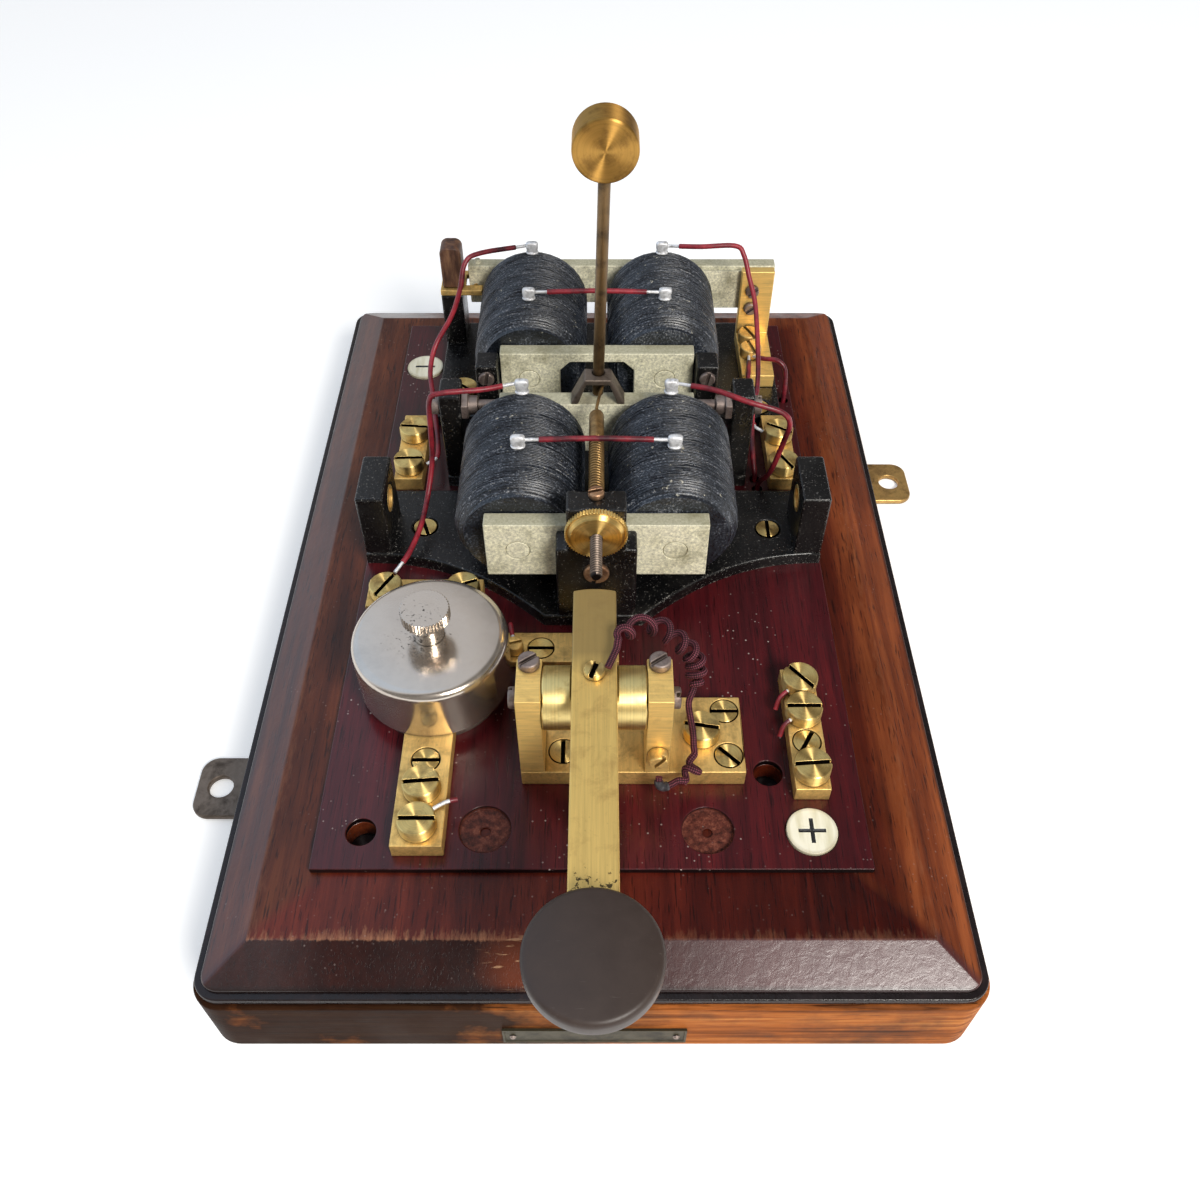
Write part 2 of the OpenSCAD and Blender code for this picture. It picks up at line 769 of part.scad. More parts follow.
module front_contact() {
    color("goldenrod") translate([key_x, contact_y, 0]) {
        translate([0, 0, floor_z]) cylinder(d = contact_foot_d, h = contact_foot_h);
        translate([0, 0, floor_z + contact_foot_h])
            cylinder(d = contact_stem_d, h = contact_top - contact_tip_h - floor_z - contact_foot_h);
        translate([0, 0, contact_top - contact_tip_h]) cylinder(d = contact_tip_d, h = contact_tip_h);
    }
}

back_pillar_y = -49;
back_plate_x = [-30, key_x + 8];
back_plate_l = 12.8;

module back_contact() {
    color("goldenrod") difference() {
        block([back_plate_x[0], back_pillar_y - back_plate_l / 2, floor_z],
            [back_plate_x[1], back_pillar_y + back_plate_l / 2, floor_z + back_plate_t]);
        plate_holes();
        translate([back_screw_at[0], back_screw_at[1], 0])
            cylinder(d = thin_shank_d + 2 * screw_gap, h = 100);
    }
}

leaf_spring_w = 8;
leaf_spring_t = 1.4;
leaf_spring_foot = 3;
leaf_spring_drop = 14;

module back_contact_spring() {
    top = lever_z - seat_gap;
    foot = floor_z + back_plate_t;
    y0 = back_pillar_y + leaf_spring_foot;
    y1 = lever_tail - leaf_spring_foot;
    color("silver") translate([key_x - leaf_spring_w / 2, 0, 0]) rotate([90, 0, 90])
        linear_extrude(height = leaf_spring_w)
            polygon([[back_pillar_y, foot], [y0, foot], [y0, top - leaf_spring_drop],
                [y1 + leaf_spring_foot, top], [y1 - leaf_spring_foot, top],
                [y1 - leaf_spring_foot, top - leaf_spring_t],
                [y1 + leaf_spring_foot - 1, top - leaf_spring_t],
                [back_pillar_y, top - leaf_spring_drop - 2]]);
}

// Route of the curly flex from the lever's screw to the cheek's screw
flex_route = [[4.6, -93, 89.6], [7, -88, 91.4], [9, -81, 91], [18.8, -71, 82], [26.4, -71.4, 75],
    [31.3, -72.6, 69], [32.4, -75.4, 64.4], [31.6, -79, 61], [30, -83, 58.6], [30.4, -88, 57.2],
    [31, -93, 56], [31, -98, 53.6], [30.6, -103, 52.4], [27, -106, 51.6], [22.4, -108, 50.6],
    [20.2, -109, 53], [20, -107.6, 55.2]];
flex_ref = unit([1, 0.5, 0.5]);
function ramp(t, a, b) = min(1, max(0, (t - a) / (b - a)));
function curl_size(t) = curl_r * (ramp(t, 1.6, 2.2) * (1 - ramp(t, 6.4, 7))
    + 0.8 * ramp(t, 11, 11.4) * (1 - ramp(t, 12.8, 13.2)));
function curl_turn(t) = 360 * (9 * ramp(t, 1.6, 7) + 2 * ramp(t, 11, 13.2));
function flex_at(t) = let (c = route_at(flex_route, t),
    v = unit(route_at(flex_route, t + 0.02) - route_at(flex_route, t - 0.02)),
    n = unit(flex_ref - (flex_ref * v) * v), b = cross(v, n), s = curl_size(t), q = curl_turn(t))
    c + s * (cos(q) * n + sin(q) * b);
flex_steps = concat([for (i = [0:3]) i * 0.4], [for (i = [0:72]) 1.6 + i * 5.4 / 72],
    [for (i = [1:8]) 7 + i * 0.5], [for (i = [1:18]) 11 + i * 2.2 / 18], [for (i = [1:7]) 13.2 + i * 0.4]);
flex_points = [for (t = flex_steps) flex_at(t)];
echo(flex_gap = point_gap(flex_points, 6, flex_d));

module curly_flex() {
    color("maroon") tube(flex_points, flex_d, 6, [0, 0, 1]);
}

wing_x = 83;
wing_y = -7;
wing_back = 27;
tongue_half = 17;
ear_t = 10;
ear_h = 27;
ear_l = 23;
ear_bore_z = 17;
bush_d = 10;
bush_bore_d = 7;
trunnion_x = 50;
trunnion_t = 8;
trunnion_d = 7;
trunnion_y = arm_y - 1;
trunnion_l = 12;
bridge_x = 38.2;
bridge_t = 8.4;
bridge_l = 10;
bridge_out = 7;
bridge_y = yoke_y[1] - bridge_out;
bridge_drop = 1;
bridge_screw_l = 6;
body_half = 48;
rear_wing_x = [-65.2, 77];
rear_wing_y = 71.4;
contact_post_w = 9;
post_w = 19.2;
post_foot_w = 26.8;
post_foot_drop = 2;
yoke_screw_d = 5;
guide_in = 3;

relay_rise = 2;
relay_z = coil_z + relay_rise;
fork_drop = 1;
fork_z = relay_z - fork_drop;
fork_out = 7;
fork_front = relay_y - fork_out;
fork_back = relay_y + relay_t + seat_gap;

// Front edge of the frame: two hollow curves from the tongue to the wings
function frame_edge(x) =
    wing_y - (wing_y - post_front) * pow((wing_x - abs(x)) / (wing_x - tongue_half), 2.2);

module frame_plan() {
    polygon(concat([[-wing_x, wing_back], [-wing_x, wing_y]],
        [for (i = [1:16]) let (x = -wing_x + (wing_x - tongue_half) * i / 16) [x, frame_edge(x)]],
        [for (i = [0:15]) let (x = tongue_half + (wing_x - tongue_half) * i / 16) [x, frame_edge(x)]],
        [[wing_x, wing_y], [wing_x, wing_back]]));
    translate([mid_x - body_half, 0]) square([2 * body_half, rear_wing_y + 1]);
    translate([mid_x - trunnion_x - trunnion_t, trunnion_y])
        square([2 * (trunnion_x + trunnion_t), trunnion_l]);
    translate([rear_wing_x[0], rear_wing_y])
        square([rear_wing_x[1] - rear_wing_x[0], fork_back + fork_l - rear_wing_y]);
}

// Upright of the frame between two corners, standing on the plate
module upright(x, y, w, l, top) {
    block([x, y, frame_z + press_gap], [x + w, y + l, top]);
}

module frame_uprights(side) {
    ear_x = side > 0 ? wing_x - ear_t : -wing_x;
    trunnion_left = mid_x + (side > 0 ? trunnion_x : -trunnion_x - trunnion_t);
    bridge_left = mid_x + (side > 0 ? bridge_x : -bridge_x - bridge_t);
    upright(ear_x, wing_y, ear_t, ear_l, frame_z + ear_h);
    upright(trunnion_left, trunnion_y, trunnion_t, trunnion_l, pivot_z + trunnion_d);
    upright(bridge_left, bridge_y, bridge_t, bridge_l, coil_z + yoke_h / 2 - bridge_drop);
}

module frame_bores(side) {
    translate([side * (wing_x - ear_t / 2), wing_y + ear_l / 2, frame_z + ear_bore_z]) rotate([0, 90, 0])
        cylinder(d = bush_d + 2 * screw_gap, h = ear_t + 2, center = true);
    translate([mid_x + side * (trunnion_x + trunnion_t / 2), shaft_y, pivot_z]) rotate([0, 90, 0])
        cylinder(d = trunnion_d + 2 * screw_gap, h = trunnion_t + 2, center = true);
    translate([mid_x + side * (bridge_x + bridge_t / 2), bridge_y - 1, bridge_screw_z]) rotate([-90, 0, 0])
        cylinder(d = thin_shank_d + 2 * screw_gap, h = bridge_screw_l + 1 + screw_gap);
}

module frame_post() {
    upright(mid_x - post_foot_w / 2, post_front, post_foot_w, post_l, coil_z + yoke_h / 2 - post_foot_drop);
    upright(mid_x - post_w / 2, post_front, post_w, post_l, post_z);
}

module post_bores() {
    translate([mid_x, post_front - 1, adjust_z]) rotate([-90, 0, 0])
        cylinder(d = adjust_d + 2 * run_gap, h = post_l + 2);
    translate([mid_x, post_front - 1, coil_z]) rotate([-90, 0, 0])
        cylinder(d = yoke_screw_d + 2 * screw_gap, h = post_l + 2);
    translate([mid_x, post_y - guide_back, post_z - guide_in - screw_gap])
        cylinder(d = thin_shank_d + 2 * screw_gap, h = 30);
}

// Cast frame: its plate and the uprights that stand on it
module magnet_frame() {
    color("dimgray") {
        difference() {
            translate([0, 0, floor_z]) linear_extrude(height = frame_t) frame_plan();
            plate_holes();
        }
        for (side = [-1, 1]) {
            difference() {
                frame_uprights(side);
                frame_bores(side);
            }
        }
        difference() {
            frame_post();
            post_bores();
        }
        upright(rear_wing_x[0], fork_front, contact_post_w, fork_back + fork_l - fork_front, fork_z);
    }
}

guide_back = 2.6;
bridge_screw_rise = 6;
bridge_screw_z = coil_z + bridge_screw_rise;

module frame_bushes() {
    color("goldenrod") for (side = [-1, 1]) {
        translate([side * (wing_x - ear_t / 2), wing_y + ear_l / 2, frame_z + ear_bore_z])
            rotate([0, 90, 0]) difference() {
                cylinder(d = bush_d, h = ear_t, center = true);
                cylinder(d = bush_bore_d, h = ear_t + 2, center = true);
            }
    }
}

module yoke_bores(y) {
    for (x = coil_x) {
        translate([x, y - 1, coil_z]) rotate([-90, 0, 0])
            cylinder(d = spigot_d + 2 * screw_gap, h = yoke_t + 2);
    }
}

module yoke_bar(y) {
    block([mid_x - yoke_l / 2, y, coil_z - yoke_h / 2],
        [mid_x + yoke_l / 2, y + yoke_t, coil_z + yoke_h / 2]);
}

module front_yoke() {
    color("lightgray") difference() {
        yoke_bar(yoke_y[0]);
        yoke_bores(yoke_y[0]);
        translate([mid_x, yoke_y[0] - 1, coil_z]) rotate([-90, 0, 0])
            cylinder(d = yoke_screw_d + 2 * screw_gap, h = yoke_t + 2);
    }
}

module rear_yoke() {
    web = 4;
    cut = 4;
    top = coil_z + yoke_h / 2 - web;
    low = coil_z - yoke_h / 2 - 1;
    color("lightgray") difference() {
        yoke_bar(yoke_y[1]);
        yoke_bores(yoke_y[1]);
        translate([mid_x, yoke_y[1] + yoke_t + 1, 0]) rotate([90, 0, 0]) linear_extrude(height = yoke_t + 2)
            polygon([[-notch_w / 2, low], [notch_w / 2, low], [notch_w / 2, top - cut],
                [notch_w / 2 - cut, top], [cut - notch_w / 2, top], [-notch_w / 2, top - cut]]);
    }
}

module cores() {
    color("gray") for (i = [0, 1]) {
        for (x = coil_x) {
            translate([x, yoke_y[i], coil_z]) rotate([-90, 0, 0]) cylinder(d = spigot_d, h = yoke_t + eps);
            translate([x, coil_y[i], coil_z]) rotate([-90, 0, 0]) cylinder(d = core_d, h = coil_l + pole_out);
        }
    }
}

// Points of a winding's outer strand, drawn in at both ends to make the round shoulders
strand_rings = 12;
strand_r = (coil_d - strand_d) / 2;
strand_y0 = strand_d * 1.5;
neck_l = 2.4;
slope_l = 9;
shoulder_in = 3.4;
function shoulder(f) = shoulder_in * (pow(max(0, 1 - f * 9), 2) + pow(max(0, 1 - (1 - f) * 9), 2));
function strand(x, y) = let (n = strand_turns * strand_rings, run = coil_l - 2 * strand_y0)
    concat([[x, y + strand_d / 2, coil_z + strand_r - shoulder(0)]],
        [for (i = [0:n]) let (f = i / n, r = strand_r - shoulder(f), a = 360 * strand_turns * f)
            [x + r * sin(a), y + strand_y0 + run * f, coil_z + r * cos(a)]],
        [[x, y + coil_l - strand_d / 2, coil_z + strand_r - shoulder(1)]]);
echo(strand_gap = point_gap(strand(coil_x[0], coil_y[0]), 5, strand_d));

module winding(x, y) {
    under = strand_r * cos(180 / strand_rings) - strand_d / 2 - 2 * screw_gap;
    neck = under - shoulder_in - 2 * screw_gap;
    bore = core_d / 2 + screw_gap;
    end = screw_gap;
    color("darkslategray") {
        translate([x, y, coil_z]) rotate([-90, 0, 0]) rotate_extrude()
            polygon([[bore, end], [neck, end], [neck, neck_l], [under, slope_l], [under, coil_l - slope_l],
                [neck, coil_l - neck_l], [neck, coil_l - end], [bore, coil_l - end]]);
        tube(strand(x, y), strand_d, 4, [0, 0, 1]);
    }
}

module bell_winding_left() {
    winding(coil_x[0], coil_y[0]);
}

module bell_winding_right() {
    winding(coil_x[1], coil_y[0]);
}

module relay_winding_left() {
    winding(coil_x[0], coil_y[1]);
}

module relay_winding_right() {
    winding(coil_x[1], coil_y[1]);
}

tag_places = [[0, 21], [0, 51], [1, 15], [1, 48]];
tag_y = [for (p = tag_places) coil_y[p[0]] + p[1]];
tag_z = coil_z + coil_d / 2 + 2 * screw_gap;
tag_wire_rise = 3;
tag_wire_z = tag_z + tag_wire_rise;
tag_foot = [6, 4.4, 1.2];
tag_blade = [4.8, 1.6, 3.2];

// How far the winding's round shoulder lies under a tag
function tag_drop(along_coil) = shoulder((along_coil - strand_y0) / (coil_l - 2 * strand_y0));

module solder_tags() {
    color("silver") for (x = coil_x) {
        for (p = tag_places) {
            drop = tag_drop(p[1] - tag_foot[1] / 2);
            translate([x, coil_y[p[0]] + p[1], tag_z - drop]) {
                translate([-tag_foot[0] / 2, -tag_foot[1] / 2, 0]) cube(tag_foot);
                translate([-tag_blade[0] / 2, -tag_blade[1] / 2, tag_foot[2] - eps])
                    cube(tag_blade + [0, 0, drop + eps]);
            }
        }
    }
}

yoke_head_d = 8.6;
thin_head_h = 1.8;
guide_head_d = 5.2;
guide_head_h = 2.2;
bridge_head_d = 6;
leaf_head_d = 5.6;
leaf_head_h = 2;
leaf_screw_out = 0.8;

module post_screws() {
    color("chocolate") {
        translate([mid_x, post_front, coil_z]) rotate([90, 0, 0])
            screw(yoke_head_d, thin_head_h, yoke_screw_d, post_l + yoke_t - 0.5, 75);
        translate([mid_x, post_y - guide_back, post_z])
            screw(guide_head_d, guide_head_h, thin_shank_d, guide_in, 15);
    }
}

module bridge_screws() {
    color("dimgray") {
        for (side = [-1, 1]) {
            translate([mid_x + side * (bridge_x + bridge_t / 2), bridge_y, bridge_screw_z]) rotate([90, 0, 0])
                screw(bridge_head_d, thin_head_h, thin_shank_d, bridge_screw_l, 80);
        }
        for (z = leaf_screw_z) {
            translate([bracket_screw_x, upright_y, z]) rotate([90, 0, 0])
                screw(leaf_head_d, leaf_head_h, thin_shank_d, bracket_t + leaf_t + leaf_screw_out, 40);
        }
    }
}

adjust_front = -57;
adjust_back = -20;

module adjusting_screw() {
    color("gray") translate([mid_x, adjust_front, adjust_z]) rotate([-90, 0, 0])
        cylinder(d = adjust_d, h = adjust_back - adjust_front);
}

nut_rim_t = nut_t * 0.6;
nut_teeth = 60;

module knurled_nut() {
    color("gold") translate([mid_x, post_front - seat_gap, adjust_z]) rotate([90, 0, 0]) difference() {
        union() {
            knurled(nut_d, nut_rim_t, nut_teeth);
            translate([0, 0, nut_rim_t])
                cylinder(d1 = nut_d - 4 * knurl_deep, d2 = nut_d - 8 * knurl_deep, h = nut_t - nut_rim_t);
        }
        translate([0, 0, -1]) cylinder(d = adjust_d + 2 * run_gap, h = nut_t + 2);
    }
}

plug_y = [6.6, 21.6];
spring_r = (spring_d - spring_wire_d) / 2;

// Points of the tension spring, which lies along Y between the screw and the plug
function lying_coil(y0, y1, turns, rings, end) = concat(
    [[mid_x + spring_r, y0, adjust_z], [mid_x + spring_r, y0 + end, adjust_z]],
    [for (i = [1:turns * rings - 1]) let (f = i / (turns * rings), a = 360 * turns * f)
        [mid_x + spring_r * cos(a), y0 + end + (y1 - y0 - 2 * end) * f, adjust_z + spring_r * sin(a)]],
    [[mid_x + spring_r, y1 - end, adjust_z], [mid_x + spring_r, y1, adjust_z]]);
spring_points = lying_coil(adjust_back + 0.1, plug_y[0] - 0.1, spring_turns, 8, spring_wire_d);
echo(spring_gap = point_gap(spring_points, 5, spring_wire_d));

module tension_spring() {
    color("silver") tube(spring_points, spring_wire_d, 6, [1, 0, 0]);
}

hook_d = 1.2;
hook_r = rod_d / 2 + hook_d / 2 + 2 * screw_gap;
hook_back = 1.2;
hook_y = shaft_y + hook_back;
hook_bend = [for (i = [0:8]) let (a = -40 + 210 * i / 8)
    [hammer_x + hook_r * cos(a), hook_y + hook_r * sin(a), adjust_z]];
hook_points = concat([[mid_x, plug_y[1], adjust_z], [mid_x, plug_y[1] + 3, adjust_z],
    [mid_x + 1, hook_y - 9, adjust_z]], hook_bend);

module spring_plug() {
    color("sienna") {
        translate([mid_x, plug_y[0], adjust_z]) rotate([-90, 0, 0])
            cylinder(d = spring_d, h = plug_y[1] - plug_y[0]);
        tube(hook_points, hook_d, 6, [0, 0, 1]);
    }
}

module bell_armature() {
    color("lightgray") difference() {
        block([mid_x - arm_l / 2, arm_y, arm_top_z - arm_h], [mid_x + arm_l / 2, arm_y + arm_t, arm_top_z]);
        translate([mid_x, shaft_y, pivot_z]) rotate([0, 90, 0])
            cylinder(d = shaft_d + 2 * press_gap, h = 2 * shaft_out, center = true);
    }
}

shaft_out = 46.5;
trunnion_in = 44;
trunnion_out = 3;
locknut_d = 11;
locknut_t = 2.5;

module armature_shaft() {
    color("gray") translate([mid_x, shaft_y, pivot_z]) rotate([0, 90, 0])
        cylinder(d = shaft_d, h = 2 * shaft_out, center = true);
}

module trunnions() {
    color("gray") for (side = [-1, 1]) {
        translate([mid_x + side * trunnion_in, shaft_y, pivot_z]) rotate([0, side * 90, 0]) difference() {
            union() {
                cylinder(d = trunnion_d, h = trunnion_x + trunnion_t - trunnion_in + trunnion_out);
                translate([0, 0, trunnion_x - trunnion_in - locknut_t - screw_gap])
                    cylinder(d = locknut_d, h = locknut_t, $fn = 6);
            }
            translate([0, 0, -1]) cylinder(d = shaft_d + 2 * run_gap, h = shaft_out - trunnion_in + 1.5);
            translate([0, 0, trunnion_x + trunnion_t - trunnion_in + trunnion_out])
                cube([2 * trunnion_d, slot_w, 2 * slot_deep], center = true);
        }
    }
}

stirrup_rise = 3.4;
stirrup_apex = adjust_z + stirrup_rise;

module hammer_stirrup() {
    wide = 10;
    crown = 4.8;
    web = 2.4;
    leg = 2.8;
    inner = crown - web / 4;
    color("dimgray") difference() {
        translate([hammer_x, arm_y + arm_t, 0]) rotate([90, 0, 0]) linear_extrude(height = arm_t)
            polygon([[-wide, arm_top_z], [-crown, stirrup_apex], [crown, stirrup_apex], [wide, arm_top_z],
                [wide - leg, arm_top_z], [inner, stirrup_apex - web], [-inner, stirrup_apex - web],
                [leg - wide, arm_top_z]]);
        translate([hammer_x, hook_y, rod_foot_z]) rotate([0, rod_lean, 0])
            cylinder(d = rod_d + 2 * press_gap, h = 40);
    }
}

rod_foot_drop = 6;
rod_foot_z = adjust_z - rod_foot_drop;
head_z = pivot_z + head_rise;
head_x = hammer_x + (head_z - rod_foot_z) * tan(rod_lean);

module hammer_rod() {
    color("saddlebrown") translate([hammer_x, hook_y, rod_foot_z]) rotate([0, rod_lean, 0])
        cylinder(d = rod_d, h = head_z - rod_foot_z);
}

module hammer_head() {
    edge = 0.5;
    color("goldenrod") difference() {
        translate([head_x, hook_y - hammer_l / 2, head_z]) rotate([-90, 0, 0]) {
            cylinder(d1 = hammer_d - 2 * edge, d2 = hammer_d, h = edge);
            translate([0, 0, edge]) cylinder(d = hammer_d, h = hammer_l - 2 * edge);
            translate([0, 0, hammer_l - edge]) cylinder(d1 = hammer_d, d2 = hammer_d - 2 * edge, h = edge);
        }
        translate([hammer_x, hook_y, rod_foot_z]) rotate([0, rod_lean, 0])
            cylinder(d = rod_d + 2 * press_gap, h = head_z - rod_foot_z + screw_gap);
    }
}

relay_x = [-53.5, 76.5];
pad_x = [46, 56];
pad_h = 12;
leaf_h = 18;
relay_pin_in = 4;
relay_pin_d = 2.6;
relay_pin_h = 1.6;

module relay_armature() {
    color("lightgray") {
        block([relay_x[0], relay_y, relay_z - relay_h / 2],
            [relay_x[1], relay_y + relay_t, relay_z + relay_h / 2]);
        block([pad_x[0], leaf_y + leaf_t + screw_gap, relay_z - pad_h / 2],
            [pad_x[1], relay_y + eps, relay_z + pad_h / 2]);
        translate([relay_x[0] + relay_pin_in, relay_y + relay_t / 2, relay_z + relay_h / 2 - eps])
            cylinder(d = relay_pin_d, h = relay_pin_h);
    }
}

bracket_foot_z = frame_z + foot_t;
bracket_l = 34.3;
bracket_front = leaf_y - bracket_l;

bracket_over = 2;
leaf_screw_z = [relay_z - 6.2, relay_z + 2.2];

module leaf_screw_holes() {
    for (z = leaf_screw_z) {
        translate([bracket_screw_x, upright_y - 1, z]) rotate([-90, 0, 0])
            cylinder(d = thin_shank_d + 2 * screw_gap, h = bracket_t + leaf_t + 2);
    }
}

module relay_bracket() {
    color("goldenrod") difference() {
        union() {
            block([bracket_x - bracket_w / 2, bracket_front, frame_z],
                [bracket_x + bracket_w / 2, leaf_y, bracket_foot_z]);
            block([bracket_x - bracket_w / 2, upright_y, frame_z],
                [bracket_x + bracket_w / 2, leaf_y, relay_z + relay_h / 2 + bracket_over]);
        }
        leaf_screw_holes();
        for (y = foot_screw_y) {
            translate([bracket_screw_x, y, frame_z + 1 - screw_gap])
                cylinder(d = shank_d + 2 * screw_gap, h = foot_t);
        }
    }
}

module hinge_leaf() {
    color("silver") difference() {
        block([pad_x[0], leaf_y, relay_z - leaf_h / 2],
            [bracket_x + bracket_w / 2, leaf_y + leaf_t, relay_z + leaf_h / 2]);
        leaf_screw_holes();
    }
}

fork_t = 2.5;
fork_l = 3;
fork_reach = 6;
fork_clear = 1.4;
contact_gap_y = 1.15;

module contact_fork() {
    stub_r = fork_t / 2 - 0.1;
    prong_back = relay_y - fork_l + 0.4;
    color("goldenrod") {
        block([rear_wing_x[0], fork_front, fork_z],
            [relay_x[0] - fork_clear, fork_back + fork_l, fork_z + fork_t]);
        block([rear_wing_x[0], fork_front, fork_z], [relay_x[0] + fork_reach, prong_back, fork_z + fork_t]);
        block([rear_wing_x[0], fork_back, fork_z],
            [relay_x[0] + fork_reach, fork_back + fork_l, fork_z + fork_t]);
        translate([relay_x[0] + fork_reach / 2, prong_back - eps, fork_z + fork_t / 2]) rotate([-90, 0, 0])
            cylinder(r = stub_r, h = relay_y - contact_gap_y - prong_back + eps);
    }
}

block_w = 8.8;
block_l = 9;
block_h = 18.5;

module contact_block() {
    round_r = 3;
    x0 = rear_wing_x[0] + 1;
    color("saddlebrown") translate([x0, fork_front + 2 + block_l, fork_z + fork_t]) rotate([90, 0, 0])
        linear_extrude(height = block_l) {
            square([block_w, block_h - round_r]);
            translate([round_r, 0]) square([block_w - 2 * round_r, block_h]);
            for (x = [round_r, block_w - round_r]) {
                translate([x, block_h - round_r]) circle(r = round_r);
            }
        }
}

// Routes of the leads: both links, four coil leads, two leads of the bracket
link_x = 3.2;
lead_start = [for (y = tag_y) [[coil_x[0] - link_x, y, tag_wire_z], [coil_x[1] + link_x, y, tag_wire_z]]];
function link_route(y) = [[coil_x[0] + link_x, y, tag_wire_z], [mid_x, y, tag_wire_z + 0.6],
    [coil_x[1] - link_x, y, tag_wire_z]];
lead_routes = [
    link_route(tag_y[0]),
    link_route(tag_y[2]),
    [lead_start[1][0], [-39, 25, 95.6], [-53, 22.5, 96], [-57.4, 22.5, 93], [-58.4, 22, 80],
        [-59.4, 21, 66], [-61.5, 13, 55.4], [-63, 0, 53], [-66, -12, 51.6], [-69.6, -18.4, 50]],
    [lead_start[3][0], [-46, 110, 97], [-51.5, 106, 95], [-54, 101, 86], [-58, 98, 76], [-65, 92, 66],
        [-67, 83, 60], [-65.5, 73, 56], [-63, 58, 52], [-61.5, 48, 50.4], [-61.4, 42, 49.4], [-64, 39.4, 49]],
    [lead_start[1][1], [42.5, 25, 95.4], [54.5, 20, 94], [65.5, 18.5, 91], [69.4, 18.5, 86], [69, 21, 76],
        [66.5, 25, 57], [64.4, 31, 47], [64, 33, 42], [64, 33, lead_end_z]],
    [lead_start[3][1], [43, 116, 96.4], [57, 115.6, 97], [60.6, 113.4, 94], [63, 108.6, 87], [65.4, 102, 80],
        [66.2, 93, 73], [66.4, 81, 65], [65.4, 70, 60], [63.4, 62, 56.4], [62.6, 52, 51.6], [62.8, 44, 47],
        [63.4, 39.6, 43], [63.5, 38.5, lead_end_z]],
    [[68, 99.8, 54.4], [70.6, 95.6, 56.6], [76.4, 93, 57.4], [79.6, 91, 54.6], [80.2, 88.4, 48],
        [80.2, 87.7, 42], [80.2, 87.7, lead_end_z]],
    [[65.4, 99.8, 54], [64.6, 92, 54.2], [63.8, 85, 53], [62.8, 75, 50.8], [63.2, 66, 50.2],
        [64.6, 60.4, 49.6], [66.6, 58.6, 49.2]]];

module leads() {
    color("crimson") for (r = lead_routes) {
        tube(smooth_route(r, 2), lead_d, 8, [0.2, 0.1, 1]);
    }
}

cap_z = bar_z + screw_gap;
cap_top = cap_z + cap_h;
thumb_z = cap_top + screw_gap;
thumb_top = thumb_z + thumb_collar_h + thumb_h;
stud_top = thumb_top - 1.6;
plate_d = 30;
plate_t = 5;
protector_gap = 1.8;

// Protector under the cap: its ring round the bar, its plate and its stud
module protector_base() {
    color("dimgray") {
        difference() {
            translate([cap_x, cap_y, floor_z])
                cylinder(d = cap_d - 2 * cap_wall - 2 * protector_gap, h = bar_t - press_gap);
            block([cap_x - wide_bar_w / 2 - screw_gap, cap_y - cap_d, floor_z - 1],
                [cap_x + wide_bar_w / 2 + screw_gap, line_bar_back + screw_gap, bar_z + 1]);
        }
        translate([cap_x, cap_y, bar_z]) cylinder(d = plate_d, h = plate_t);
        translate([cap_x, cap_y, bar_z + plate_t + press_gap])
            cylinder(d = stud_d, h = stud_top - bar_z - plate_t - press_gap);
    }
}

module cap() {
    r = cap_d / 2;
    bore = stud_d / 2 + 2 * screw_gap;
    color("whitesmoke") translate([cap_x, cap_y, cap_z]) rotate_extrude() {
        translate([r - cap_wall, 0]) square([cap_wall, cap_h - cap_edge_r]);
        translate([bore, cap_h - cap_wall]) square([r - cap_edge_r - bore, cap_wall]);
        translate([r - cap_edge_r, cap_h - cap_edge_r]) difference() {
            intersection() {
                circle(r = cap_edge_r);
                square([cap_edge_r, cap_edge_r]);
            }
            circle(r = cap_edge_r - cap_wall);
        }
    }
}

module thumb_nut() {
    color("lightgray") translate([cap_x, cap_y, thumb_z]) difference() {
        union() {
            cylinder(d = thumb_d * 0.64, h = thumb_collar_h);
            translate([0, 0, thumb_collar_h]) knurled(thumb_d, thumb_h, 44);
        }
        translate([0, 0, -1]) cylinder(d = stud_d + 2 * run_gap, h = stud_top - thumb_z + 1.2);
    }
}

base_plinth();
base_bead();
base_board();
movement_panel();
fixing_plate_iron();
fixing_plate_brass();
fixing_screws();
strip_plate();
strip_pins();
ivory_discs();
line_bar();
earth_bar();
battery_bar();
coil_bars();
terminal_screws();
flush_screws();
small_screws();
key_plate();
key_cheeks();
key_screws();
key_drum();
key_lever();
lever_screw();
key_knob();
key_spring();
front_contact();
back_contact();
back_contact_spring();
curly_flex();
magnet_frame();
frame_bushes();
front_yoke();
rear_yoke();
cores();
bell_winding_left();
bell_winding_right();
relay_winding_left();
relay_winding_right();
solder_tags();
post_screws();
bridge_screws();
adjusting_screw();
knurled_nut();
tension_spring();
spring_plug();
bell_armature();
armature_shaft();
trunnions();
hammer_stirrup();
hammer_rod();
hammer_head();
relay_armature();
relay_bracket();
hinge_leaf();
contact_fork();
contact_block();
leads();
protector_base();
cap();
thumb_nut();
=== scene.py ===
"""Railway block bell: woodwork, brasswork, coils and wiring dressed on the CAD model."""

import math

